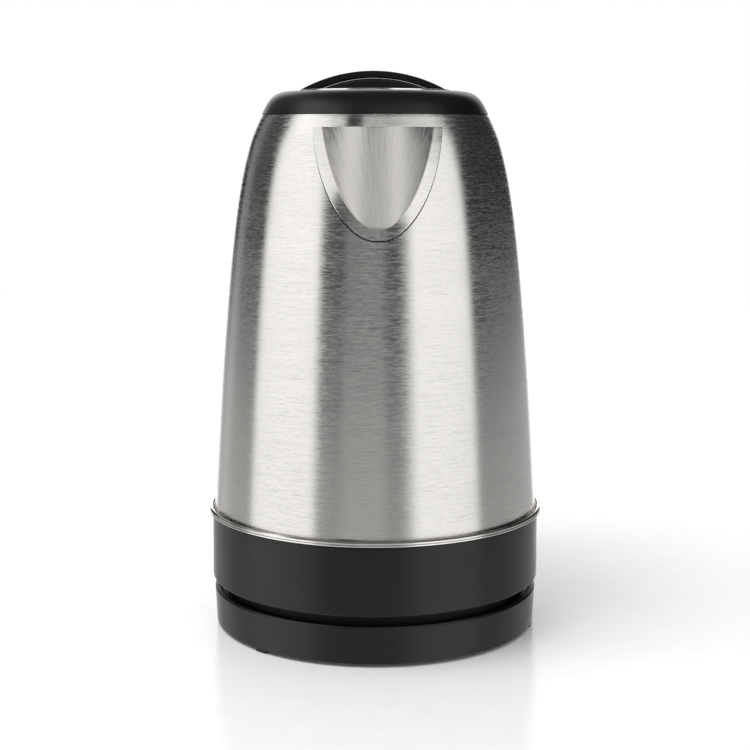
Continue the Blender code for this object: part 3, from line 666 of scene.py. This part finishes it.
BLACK_GLOSS = moulded("black_gloss", (0.002, 0.002, 0.0023), 0.16, 1200.0, 0.01, 0.55)
BLACK_BAND = moulded("black_band", (0.002, 0.002, 0.0023), 0.33, 2200.0, 0.08, 0.38)


def finish_cad_pieces():
    """The CAD pieces that stay get the finish of their own material slot."""
    slots = {entry["node"]: entry["material_slot"] for entry in frame["record"]["subparts"]}
    for name, obj in frame["nodes"].items():
        finish = FINISHES[slots[name]]
        if not obj.material_slots:
            obj.data.materials.append(finish)
        for slot in obj.material_slots:
            slot.material = finish


# ---- the power base ----

def power_base():
    profile = soften([
        (73.8, FOOT_HEIGHT), (BASE_RADIUS, BASE_TOP - 1.0), (BASE_RADIUS - 0.55, BASE_TOP - 0.15),
        (BASE_RADIUS - 0.9, BASE_TOP), (72.4, BASE_TOP), (71.2, DECK), (18.5, DECK),
        (18.5, DECK - PLASTIC), (70.4, DECK - PLASTIC), (71.5, DECK - 3.4), (71.4, FOOT_HEIGHT)], 0.25)
    shell = revolved("power_base_shell", profile)
    notch = prism("notch", arc((0, GLAND_Z), 5.4, 0, 180, 32) + [(-5.4, -1), (5.4, -1)], 64, 80, "Y")
    cut(shell, notch)
    piece(shell, "power_base", "black_plastic", "base_upper_shell", finish=BLACK_BAND)

    cover = revolved("power_base_cover", soften([(0, 2.0), (71.0, 2.0), (71.0, 4.4), (0, 4.4)], 0.4, False))
    for number, degrees in enumerate(FOOT_ANGLES, 1):
        place = spot(36, degrees + 60)
        screw_hole(cover, place, 0, 2.9, 3.4, 1.6, 9)
        fixing = screw(f"base_fixing_{number}", place, 2.2, 12.0, 2.5, 0.9, 1.3)
        piece(fixing, "power_base", "spring_steel", f"base_screw_{number}")
        foot = revolved(f"power_base_foot_{number}", soften([
            (0, 0), (4.2, 0), (4.6, 0.4), (4.6, 1.2), (2.2, 1.2), (2.2, 1.7), (0, 1.7)], 0.25, False),
            spot(FOOT_PLACE, degrees), 48)
        out = Vector(spot(1.0, degrees))
        across = Vector((-out.y, out.x))
        ends = ((FOOT_PLACE, -3.2), (TOE_REACH, -2.9), (TOE_REACH, 2.9), (FOOT_PLACE, 3.2))
        join(foot, prism("toe", [tuple(out * r + across * w) for r, w in ends], 0.15, 1.3))
        piece(foot, "power_base", "rubber", f"base_foot_{number}")
    piece(cover, "power_base", "dark_plastic", "base_lower_cover")

    boss = revolved("connector_boss", soften([
        (0, 8.0), (21.0, 8.0), (21.0, 14.2), (17.0, 14.2), (17.0, 26.2), (16.2, 27.0),
        (13.0, 27.0), (13.0, 17.0), (10.5, 17.0), (10.5, 27.0), (6.2, 27.0), (6.2, 15.0),
        (0, 15.0)], 0.35, False), sides=128)
    piece(boss, "power_base", "white_plastic", "base_connector")
    for name, profile in (
            ("live_contact_ring", [(12.3, 17.3), (12.7, 17.3), (12.7, 23.0), (12.3, 23.0)]),
            ("neutral_contact_ring", [(5.4, 15.3), (5.8, 15.3), (5.8, 21.0), (5.4, 21.0)])):
        ring = revolved(f"fine_{name}", soften(profile, 0.1), sides=96)
        piece(ring, "power_base", "brass", name)
    pin = revolved("fine_earth_pin", soften([
        (0, 15.3), (2.2, 15.3), (2.2, 24.2), (1.4, 25.4), (0, 25.4)], 0.5, False), sides=48)
    piece(pin, "power_base", "brass", "earth_pin")

    bush = revolved_along_y("cord_bush", soften([(5.0, 71.4), (5.0, 77.0), (3.4, 77.0), (3.4, 71.4)], 0.5))
    piece(bush, "power_base", "rubber", "cord_gland")


def screw(name, place, low, high, head_radius, head_height, shank_radius):
    """An upright screw with its head at the bottom: a domed head with a cross recess, and a thread."""
    neck = low + head_height
    profile = [(0, low), (head_radius * 0.6, low + 0.05), (head_radius * 0.92, low + 0.25),
               (head_radius, low + 0.5), (head_radius, neck), (shank_radius, neck)]
    level = neck + 0.5
    while level < high - 1.2:
        profile += [(shank_radius * 0.78, level), (shank_radius, level + 0.35)]
        level += 0.7
    profile += [(shank_radius * 0.3, high), (0, high)]
    made = revolved(name, profile, place, 40)
    x, y = place
    for half_x, half_y in ((1.2, 0.28), (0.28, 1.2)):
        arm = block("recess", (x - half_x, y - half_y, low - 1), (x + half_x, y + half_y, low + 0.6))
        cut(made, arm)
    return made


def screw_hole(cover, place, low, head, step, shank, high):
    """Cuts a stepped hole up through a cover: its head's radius up to the step, its shank's above."""
    steps = [(0, low), (head, low), (head, step), (shank, step), (shank, high), (0, high)]
    cut(cover, revolved("hole", steps, place, 48))


def revolved_along_y(name, profile):
    """A profile of (radius, y) points turned round the cord outlet's own level axis."""
    shape = bmesh.new()
    sides = 64
    turns = [math.tau * i / sides for i in range(sides)]
    rings = [[shape.verts.new((r * math.cos(a), y, GLAND_Z + r * math.sin(a))) for a in turns]
             for r, y in profile]
    for a, b in zip(rings, rings[1:] + rings[:1]):
        for i in range(sides):
            j = (i + 1) % sides
            shape.faces.new((a[i], a[j], b[j], b[i]))
    return raw(name, shape)


# ---- the kettle's underside ----

def underside():
    band = revolved("lower_band", soften([
        (72.5, HOUSING_BOTTOM), (HOUSING_RADIUS - 0.8, HOUSING_BOTTOM),
        (HOUSING_RADIUS, HOUSING_BOTTOM + 0.9), (75.0, HOUSING_TOP), (66.0, HOUSING_TOP),
        (66.0, HOUSING_TOP - PLASTIC), (72.5, HOUSING_TOP - PLASTIC)], 0.6))
    cut(band, block("port", (-8, 66, 43.6), (8, 82, 48.6)))
    piece(band, "kettle", "black_plastic", "lower_housing", finish=BLACK_BAND)

    cover = revolved("underside_cover", soften([
        (20.6, DECK + GAP), (69.0, DECK + GAP), (69.0, 23.4), (72.1, 23.4), (72.1, 25.4),
        (66.8, 25.4), (66.8, DECK + 2.5), (20.6, DECK + 2.5)], 0.4))
    for number, degrees in enumerate((60, 180, 300), 1):
        place = spot(44, degrees)
        screw_hole(cover, place, 14, 3.0, 18.2, 1.7, 22)
        fixing = screw(f"cover_fixing_{number}", place, 17.3, 28.0, 2.6, 0.8, 1.3)
        piece(fixing, "kettle", "spring_steel", f"cover_screw_{number}")
    piece(cover, "kettle", "dark_plastic", "bottom_cover")

    socket = revolved("socket_body", soften([
        (20.3, DECK + 0.8), (20.3, 30.7), (4.9, 30.7), (4.9, 28.2), (11.0, 28.2), (11.0, 19.0),
        (11.8, 19.0), (11.8, 28.2), (17.8, 28.2), (17.8, DECK + 0.8)], 0.3), sides=128)
    piece(socket, "socket", "white_plastic", "socket_housing")

    ring = revolved("trim_ring_polished", soften([
        (74.6, HOUSING_TOP + GAP), (76.0, HOUSING_TOP + GAP), (RING_RADIUS, 53.5),
        (RING_RADIUS, 54.0), (75.9, 54.25), (RING_RADIUS, 54.5), (RING_RADIUS, 55.0), (76.1, RING_TOP),
        (75.2, 55.5), (75.0, 54.4), (74.6, 53.9)], 0.35, steps=5))
    piece(ring, "kettle", "polished_steel", "trim_ring", finish=STEEL_RING)

    plate = revolved("heater_plate_disc", soften([
        (0, PLATE_Z), (72.8, PLATE_Z), (72.8, PLATE_Z + STEEL), (0, PLATE_Z + STEEL)], 0.2, False))
    piece(plate, "kettle", "polished_steel", "heater_plate")


def heater():
    spreader = revolved("spreader_disc", soften([(0, 53.8), (58, 53.8), (58, 56.0), (0, 56.0)], 0.3, False))
    piece(spreader, "kettle", "aluminium", "heat_spreader")
    ring = [(x, y, 50.0) for x, y in arc((0, 0), 47, -70, 250, 96)]
    legs = [[(x, y, z) for z in (38, 44, 48)] for x, y in (ring[0][:2], ring[-1][:2])]
    tube = wound("heater_tube", legs[0] + ring[2:-2] + legs[1][::-1], 3.2, 5)
    piece(tube, "kettle", "aluminium", "heating_element")
    outline = soften([(-26, -20), (26, -20), (26, 12), (14, 24), (-14, 24), (-26, 12)], 2.0)
    control = prism("control_case", outline, 31.0, 46.0)
    cut(control, block("step", (-22, -30, 29), (22, -14, 34)))
    piece(control, "kettle", "white_plastic", "control_unit", bevel=0.5)
    for side, x in (("left", -12), ("right", 12)):
        disc = revolved(f"cut_out_{side}", [(0, 46.4), (8, 46.3), (8, 46.8), (0, 47.3)], (x, -6), 64)
        piece(disc, "kettle", "brass", f"overheat_disc_{side}")
    contact = revolved("contact_tube", soften([
        (3.0, 16.5), (4.4, 16.5), (4.4, 30.6), (3.0, 30.6)], 0.2), sides=64)
    piece(contact, "socket", "brass", "socket_contact_tube")


# ---- the steel body and its spout ----

def body_shell():
    table = body_points()
    outside = [(70.5, HOUSING_TOP + 0.5), (73.6, HOUSING_TOP + 0.5), (74.15, HOUSING_TOP + 1.1)]
    outside += [(r, z) for z, r in table] + [(51.6, BODY_TOP)]
    inside = [(50.95, BODY_TOP), (51.2, 231.0)]
    inside += [(r - STEEL, z) for z, r in reversed(table[:-1])]
    inside += [(73.35, HOUSING_TOP + 1.3), (70.5, HOUSING_TOP + 1.3)]
    shell = revolved("steel_body", outside + inside, sides=256)
    low, high = LIP_Z - SPOUT_HEIGHT + 4.0, LIP_Z - 1.5
    rows = [high - (high - low) * i / 32 for i in range(33)]
    right = [(spout_half_width(z) - 1.8, z) for z in rows[:-1]]
    outline = [(-x, z) for x, z in reversed(right)] + right + [(0, low)]
    cut(shell, prism("spout_hole", outline, -90, -30, "Y"))
    piece(shell, "kettle", "brushed_steel", "body_shell")


def spout_half_width(z):
    t = min(1.0, max(0.0, (LIP_Z - z) / SPOUT_HEIGHT))
    return SPOUT_HALF_WIDTH * math.sqrt(max(0.0, 1 - t ** 1.4))


def flange_half_width(z):
    t = min(1.0, max(0.0, (LIP_Z - z) / FLANGE_HEIGHT))
    return FLANGE_HALF_WIDTH * math.sqrt(max(0.0, 1 - t ** 1.7))


def blurred(line, width):
    """Offsets along a line, smoothed over that many neighbours, with the ends kept."""
    weights = [math.exp(-0.5 * (2 * k / width) ** 2) for k in range(-width, width + 1)]
    found = []
    for i in range(len(line)):
        near = [line[min(max(i + k, 0), len(line) - 1)] for k in range(-width, width + 1)]
        found.append(sum(w * v for w, v in zip(weights, near)) / sum(weights))
    found[0], found[-1] = line[0], line[-1]
    return found


def spout_section(z):
    """The spout at one height, as one closed ring. The beak runs into the flange with a small fillet."""
    count = 97
    ears = 12
    skin = body_radius(z) + GAP + 0.35
    wide = max(flange_half_width(z), 1.2)
    half = max(spout_half_width(z), 0.12 * wide)
    t = (LIP_Z - z) / SPOUT_HEIGHT
    nose = SPOUT_REACH - (SPOUT_REACH - body_radius(LIP_Z - SPOUT_HEIGHT) - 1) * t ** 1.25
    rise = FLANGE_RISE * max(0.0, min(1.0, 2.2 * (1 - t)))
    bulge = max(0.0, nose - skin - STEEL - rise) if t < 1 else 0.0

    def side(offset, inset):
        reach = skin + offset
        inner_half = max(half - inset, 0.5 * half)
        beak = [math.radians(90 - 180 * i / (count - 1)) for i in range(count)]
        line = [(wide - (wide - half) * i / ears, rise * i / ears) for i in range(ears)]
        line += [(inner_half * math.sin(a), rise + max(bulge - inset, 0)
                  * (0.5 * math.cos(a) + 0.5 * (1 - abs(math.sin(a)) ** 2.4))) for a in beak]
        line += [(-x, b) for x, b in reversed(line[:ears])]
        heights = blurred([b for _, b in line], 2)
        return [(x, -(math.sqrt(reach ** 2 - x ** 2) + b), z) for (x, _), b in zip(line, heights)]

    return side(STEEL, 0.0) + side(0.0, STEEL)[::-1]


def shadow_line_section(z):
    """The dark strip behind the flange at one height, painted shade: it shows as a thin dark line round the
    flange, where the crevice throws its shadow.
    """
    count = 49
    share = (LIP_Z - z) / FLANGE_HEIGHT
    wide = flange_half_width(z + SHADOW_LINE_WIDTH * share) + SHADOW_LINE_WIDTH * share
    xs = [wide * (1 - 2 * i / (count - 1)) for i in range(count)]
    front, back = body_radius(z) + 0.45, body_radius(z) + 0.05
    ring = [(x, -math.sqrt(front ** 2 - x ** 2), z) for x in xs]
    return ring + [(x, -math.sqrt(back ** 2 - x ** 2), z) for x in reversed(xs)]


def spout():
    rows = [LIP_Z - (FLANGE_HEIGHT - 0.3) * (i / 72) for i in range(73)]
    beak = lofted("spout_beak", [spout_section(z) for z in rows])
    piece(beak, "kettle", "brushed_steel", "spout", finish=STEEL_BEAK, bevel=0.18, sharp=50.0)
    beak.data.materials.append(FINISHES["brushed_steel"])
    for face in beak.data.polygons:
        x, _y, z = (face.center - AXIS) / UNIT
        if abs(x) > spout_half_width(z) + 0.4:
            face.material_index = 1
    # A dark matt strip just outside the flange: a painted shadow line for the crevice between the flange
    # and the body.
    rows = [LIP_Z - 2 - (FLANGE_HEIGHT + SHADOW_LINE_WIDTH - 2.1) * (i / 72) for i in range(73)]
    shadow_line = lofted("spout_shadow_line", [shadow_line_section(z) for z in rows])
    piece(shadow_line, "kettle", "rubber", finish=FINISHES["dark_plastic"])


def wall_points(z, inset, half_angle, steps):
    """Points along the inside of the steel wall at one height, that far in from it."""
    radius = body_radius(z) - STEEL - inset
    return [(*spot(radius, half_angle * (1 - 2 * i / steps)), z) for i in range(steps + 1)]


def spout_filter():
    steps = 24
    heights = [FILTER_LOW + (FILTER_HIGH - FILTER_LOW) * i / steps for i in range(steps + 1)]
    rim = lofted("filter_rim", [wall_points(z, 0.6, 21.5, 24) + wall_points(z, 3.0, 21.5, 24)[::-1]
                                for z in heights])
    low, high = FILTER_LOW + FILTER_RIM, FILTER_HIGH - FILTER_RIM
    window = soften([(-18, low), (18, low), (18, high), (-18, high)], 2.5)
    cut(rim, prism("window", window, -70, -30, "Y"))
    piece(rim, "spout_filter", "dark_plastic", "filter_frame", bevel=0.4)
    heights = [low + 0.4 + (high - low - 0.8) * i / steps for i in range(steps + 1)]
    shape = bmesh.new()
    rows = [[shape.verts.new(p) for p in wall_points(z, 1.8, 16.3, 26)] for z in heights]
    for a, b in zip(rows, rows[1:]):
        for i in range(len(a) - 1):
            shape.faces.new((a[i], a[i + 1], b[i + 1], b[i]))
    gauze = raw("filter_gauze", shape)
    piece(gauze, "spout_filter", "polished_steel", "filter_mesh")
    wires = gauze.modifiers.new("wires", "WIREFRAME")
    wires.thickness = 0.42 * UNIT
    wires.use_even_offset = False


# ---- the collar and the lid ----

def shoulder(steps):
    """The collar's round shoulder, from its foot up to its flat top."""
    return bezier((50.7, BODY_TOP + GAP), (48.2, 237.6), (46.0, COLLAR_TOP), (39.0, COLLAR_TOP), steps)


def collar():
    profile = shoulder(40) + [
        (MOUTH_RADIUS, COLLAR_TOP - 0.6), (MOUTH_RADIUS, 231.0), (40.3, 231.0), (40.3, 239.8),
        (45.2, 238.4), (47.5, 234.5), (47.5, 225.0), (49.9, 225.0), (49.9, BODY_TOP + GAP)]
    ring = revolved("collar_ring", soften(profile, 0.35), sides=256)
    cut(ring, rod("port", (STEAM_X, 237.0), 2.9, 25, 60, "Y"))
    piece(ring, "kettle", "black_plastic", "collar")


def d_outline(radius, back):
    """A circle cut straight at the back."""
    reach = math.degrees(math.asin(back / radius))
    return arc((0, 0), radius, 180 - reach, 360 + reach, 96)


def lid_cover():
    cover = prism("lid_top", d_outline(LID_RADIUS, LID_BACK), 238.6, COLLAR_TOP - 0.2)
    cut(cover, block("cut", *FORK_ROOM))
    piece(cover, "lid", "black_plastic", "lid_cover", bevel=0.4)


def lid_crest():
    """The arched ridge over the lid's back, with the two lugs that turn on the hinge pin."""
    inner, outer = LUG_SIDES
    half = math.sqrt(CREST_ROUND ** 2 - (CREST_ROUND - (CREST_TOP - 241.0)) ** 2)
    reach = math.degrees(math.asin(half / CREST_ROUND))
    # The soft front edge: where it is along y, and how far in from the arch.
    front_edge = ((10.0, 1.3), (10.25, 0.75), (10.75, 0.25), (11.6, 0.0), (31.0, 0.0))
    rings = []
    for y, inset in front_edge:
        arch = arc((0, CREST_TOP - CREST_ROUND), CREST_ROUND - inset, 90 - reach, 90 + reach, 72)
        rings.append([(x, y, z) for x, z in arch])
    crest = lofted("lid_crest", rings)
    combined(crest, prism("keep", d_outline(LID_RADIUS, 31.0), 239.5, 252), "INTERSECT")
    for low, high in (((-40, 27.6, 236), (40, 40, 243.4)), FORK_ROOM,
                      ((-40, 28.4, 238), (-outer, 40, 252)), ((outer, 28.4, 238), (40, 40, 252))):
        cut(crest, block("cut", low, high))
    for side in (-1, 1):
        low, high = sorted((side * inner, side * outer))
        join(crest, rod("knuckle", HINGE.yz, KNUCKLE_RADIUS, low, high))
        join(crest, block("lug", (low + 0.2, 29.0, 244.5), (high - 0.2, 34.2, 246.3)))
    cut(crest, rod("bore", HINGE.yz, HINGE_BORE, -12.6, 12.6))
    piece(crest, "lid", "black_plastic", finish=BLACK_GLOSS, bevel=0.3, sharp=50.0)


def lid_face():
    """The low dome on the lid and the slim steel rim round it."""
    shares = [1 - i / 8 for i in range(1, 9)]
    dome = revolved("lid_dome", [(0, 241.0), (33.5, 241.0), (33.5, 242.8)]
                    + [(33.5 * share, 243.4 - 0.6 * share ** 2) for share in shares])
    rim = revolved("lid_rim", soften([(34.7, 241.0), (34.2, 243.1), (33.6, 243.1), (33.6, 241.0)], 0.15))
    for raised, slot_name, finish in (
            (dome, "black_plastic", BLACK_GLOSS), (rim, "polished_steel", STEEL_RING)):
        cut(raised, block("cut", (-40, LID_BACK - 0.4, 236), (40, 60, 250)))
        cut(raised, block("cut", *FORK_ROOM))
        piece(raised, "lid", slot_name, finish=finish)


def lid_inside():
    liner = prism("lid_liner_cup", d_outline(35.3, 24.0), 229.6, 238.3)
    cut(liner, prism("hollow", d_outline(34.3, 23.0), 230.6, 240))
    piece(liner, "lid", "polished_steel", "lid_liner", bevel=0.4)
    gasket = prism("lid_seal", d_outline(37.2, 26.0), 235.0, 237.4)
    cut(gasket, prism("core", d_outline(35.6, 24.3), 230, 240))
    piece(gasket, "lid", "silicone", "lid_gasket", bevel=0.3)


def hinge():
    outer = arc((0, 0), 37.9, 112, 68, 32)
    plate = prism("hinge_fork", [(14.2, 31.2), (-14.2, 31.2)] + outer, 236.0, 240.2)
    for side in (-1, 1):
        low, high = sorted((side * 5.0, side * 6.9))
        web = soften([(31.6, 239.5), (34.5, 239.5), (32.2, 245.6), (30.0, 247.4), (28.0, 245.3)], 0.6)
        join(plate, prism("ear", web, low, high, "X"))
        join(plate, rod("knuckle", HINGE.yz, KNUCKLE_RADIUS, low, high))
    cut(plate, rod("bore", HINGE.yz, HINGE_BORE, -12, 12))
    piece(plate, "kettle", "black_plastic", "hinge_bracket", bevel=0.3)
    pin = rod("hinge_axle", HINGE.yz, 1.0, -11.4, 11.4)
    piece(pin, "kettle", "spring_steel", "lid_hinge_pin", bevel=0.25)
    coil, half, turns, parts = 1.75, 4.0, 6.6, 160
    points = [(-half, 33.6, 242.4), (-half, 31.6, 243.9)]
    for i in range(parts + 1):
        a = math.radians(200) + math.tau * turns * i / parts
        x = -half + 2 * half * i / parts
        points.append((x, HINGE.y - coil * math.sin(a), HINGE.z + coil * math.cos(a)))
    points += [(half, 27.6, 246.9), (half, 27.2, 247.0)]
    piece(wound("lid_coil", points, 0.3, 2), "kettle", "spring_steel", "lid_spring")


def lid_release():
    radius, turns, parts = 1.5, 5.0, 120
    points = []
    for i in range(parts + 1):
        a = math.tau * turns * i / parts
        points.append((radius * math.cos(a), BUTTON_Y + radius * math.sin(a), 237.8 + 5.2 * i / parts))
    spring = wound("button_coil", points, 0.3, 2)
    piece(spring, "kettle", "spring_steel", "button_spring")
    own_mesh(spring)
    half = [(7.8, 34.7), (11.1, 34.7), (11.1, 40.0), (9.0, 42.0), (9.0, 69.5)]
    outline = [(0, 36.6), (7.8, 36.6)] + half + [(-x, y) for x, y in reversed(half)] + [(-7.8, 36.6)]
    sheet = prism("catch_sheet", soften(outline, 0.5), 242.8, 244.1)
    cut(sheet, block("window", (-6.6, 54.4, 240), (6.6, BUTTON_Y + 3.8, 246)))
    piece(sheet, "catch", "spring_steel", "lid_catch", bevel=0.2)


def lid_button():
    profile = soften([
        (0, 240.6), (3.0, 240.6), (3.0, 243.9), (6.0, 246.9), (6.0, 249.6), (8.2, 249.6), (8.2, 253.0),
        (7.0, 254.0), (0, 254.1)], 0.7, False, 6)
    button = revolved("release_button", profile, (0, BUTTON_Y), 96)
    cut(button, rod("cup", (0, BUTTON_Y), 2.1, 230, 243.5, "Z"))
    piece(button, "release_button", "dark_plastic", "lid_button")


# ---- the handle ----

def handle_frames():
    """Fine stations along the handle, each with the way that the handle runs there."""
    stations = smoothed(HANDLE_STATIONS, 10)
    frames = []
    for i, station in enumerate(stations):
        before, after = stations[max(i - 1, 0)], stations[min(i + 1, len(stations) - 1)]
        along = Vector((0, after[0] - before[0], after[1] - before[1])).normalized()
        frames.append((station, along))
    return frames


def handle_ring(station, along, wall):
    """The handle's wall at one station, open towards the hand, as one closed ring."""
    y, z, half, round_to, arch, depth = station
    inward = Vector((0, along.z, -along.y))
    crown = Vector((0, y, z))

    def side(inset):
        end = math.radians(round_to)
        wide = (half - inset) / math.sin(end)
        spread = [end * (1 - 2 * i / 48) for i in range(49)]
        curve = [(wide * math.sin(a), inset + arch * (1 - math.cos(a))) for a in spread]
        curve = [(curve[0][0], depth), *curve, (curve[-1][0], depth)]
        return [crown + Vector((x, 0, 0)) + inward * d for x, d in curve]

    return side(0.0) + side(wall)[::-1]


def kettle_envelope():
    """The body and collar in one, with the gap that the handle keeps to them."""
    outline = [(0, 10), (HOUSING_RADIUS, 10), (HOUSING_RADIUS, HOUSING_TOP), (RING_RADIUS, HOUSING_TOP),
               (RING_RADIUS, RING_TOP), (74.15, RING_TOP + 0.2)]
    outline += [(r, z) for z, r in body_points()] + [(51.6, BODY_TOP)]
    outline += shoulder(24)[1:] + [(0, COLLAR_TOP)]
    grown = [(r + (GAP if r else 0), z + (GAP if z > HOUSING_TOP else 0)) for r, z in outline]
    return revolved("envelope", grown)


def handle_shell():
    shell = lofted("handle_outer", [handle_ring(*station, HANDLE_WALL) for station in handle_frames()])
    cut(shell, kettle_envelope())
    cut(shell, rod("hole", (0, BUTTON_Y), 8.8, 240, 260, "Z", 64))
    cut(shell, block("window", (-11, 88, 30), (11, 110, 49.5)))
    cut(shell, rod("seat", LEVER_PIVOT.yz, 1.5, -17.9, 17.9))
    piece(shell, "kettle", "black_plastic", "handle_shell", bevel=0.45, sharp=48.0)


def handle_cover():
    """The inner face of the grip, which ends below the hood and above the foot."""
    rings = []
    for (y, z, half, _round, _arch, depth), along in handle_frames():
        if y < 60 and z > 200 or z < 92:
            continue
        inward = Vector((0, along.z, -along.y))
        wide = half - HANDLE_WALL - 0.9
        section = soften([
            (wide, depth - 2.8), (wide, depth - 0.6), (wide - 1.2, depth), (-wide + 1.2, depth),
            (-wide, depth - 0.6), (-wide, depth - 2.8)], 0.5)
        rings.append([Vector((x, y, z)) + inward * d for x, d in section])
    cover = lofted("handle_inner", rings)
    cut(cover, kettle_envelope())
    piece(cover, "kettle", "dark_plastic", "handle_cover")


def handle_insides():
    route = [(STEAM_X, 44.8, 237.0), (STEAM_X, 50.0, 237.2), (16.0, 57.5, 239.8), (12.5, 67.0, 240.0),
             (8, 80, 238.6), (3, 93, 232.5), (0, 103, 222.0), (0, 108.5, 205.0), (0, 110.0, 180.0),
             (0, 106.5, 150.0), (0, 100.5, 118.0), (0, 93.0, 92.0), (0, 87.5, 70.5)]
    piece(wound("steam_hose", smoothed(route, 6), 2.4), "kettle", "silicone", "steam_tube")
    case = block("switch_case", (-9.5, 79.5, 50.5), (9.5, 91.5, 68.0))
    cut(case, rod("seat", (0, 61.0), 6.4, 86.9, 95, "Y"))
    cut(case, block("guide", (-2.4, 82.2, 45), (2.4, 85.8, 53.8)))
    piece(case, "kettle", "white_plastic", "steam_switch", bevel=0.5)
    disc = rod("steam_disc", (0, 61.0), 6.0, 87.3, 87.9, "Y", 64)
    piece(disc, "kettle", "brass", "bimetal_disc", bevel=0.12)
    for side, x in (("left", -6.0), ("right", 6.0)):
        route = [(x, 26.5, 40.0), (x, 40.0, 38.0), (x, 58.0, 40.0)]
        route += [(x, 70.0, 45.6), (x, 77.5, 46.2), (x, 80.6, 50.2)]
        lead = wound(f"lead_{side}", smoothed(route, 8), 0.9)
        piece(lead, "kettle", "wire_sleeve", f"switch_lead_{side}")


def switch_lever():
    pin = rod("lever_axle", LEVER_PIVOT.yz, 1.2, -17.5, 17.5)
    piece(pin, "kettle", "spring_steel", "lever_pin", bevel=0.25)
    plunger = block("plunger_stem", (-2.0, 82.6, 47.7), (2.0, 85.4, 52.5))
    piece(plunger, "plunger", "white_plastic", "switch_plunger", bevel=0.4)

    side = soften([(82.5, 42.2), (84.0, 41.2), (96.0, 38.6), (106.0, 36.8), (107.5, 38.2), (106.6, 40.6),
                   (97.0, 43.6), (89.0, 47.0), (84.5, 47.2), (82.4, 45.6)], 1.6)
    lever = prism("lever_body", side, -9.8, 9.8, "X")
    cut(lever, rod("bore", LEVER_PIVOT.yz, 1.45, -12, 12))
    cut(lever, block("seat", (-3.6, 98.4, 38.4), (3.6, 103.6, 50)))
    piece(lever, "lever", "dark_plastic", "switch_lever", bevel=0.5)
    lens = block("lever_window", (-3.2, 98.8, 38.8), (3.2, 103.2, 41.4))
    piece(lens, "lever", "lens", "lever_lens", bevel=0.3)


make_camera()
make_world()
make_floor()
make_key_light()
finish_cad_pieces()
power_base()
underside()
heater()
body_shell()
spout()
spout_filter()
collar()
lid_cover()
lid_crest()
lid_face()
lid_inside()
hinge()
lid_release()
lid_button()
handle_shell()
handle_cover()
handle_insides()
switch_lever()

bpy.context.scene.view_settings.view_transform = "Standard"
bpy.context.view_layer.update()
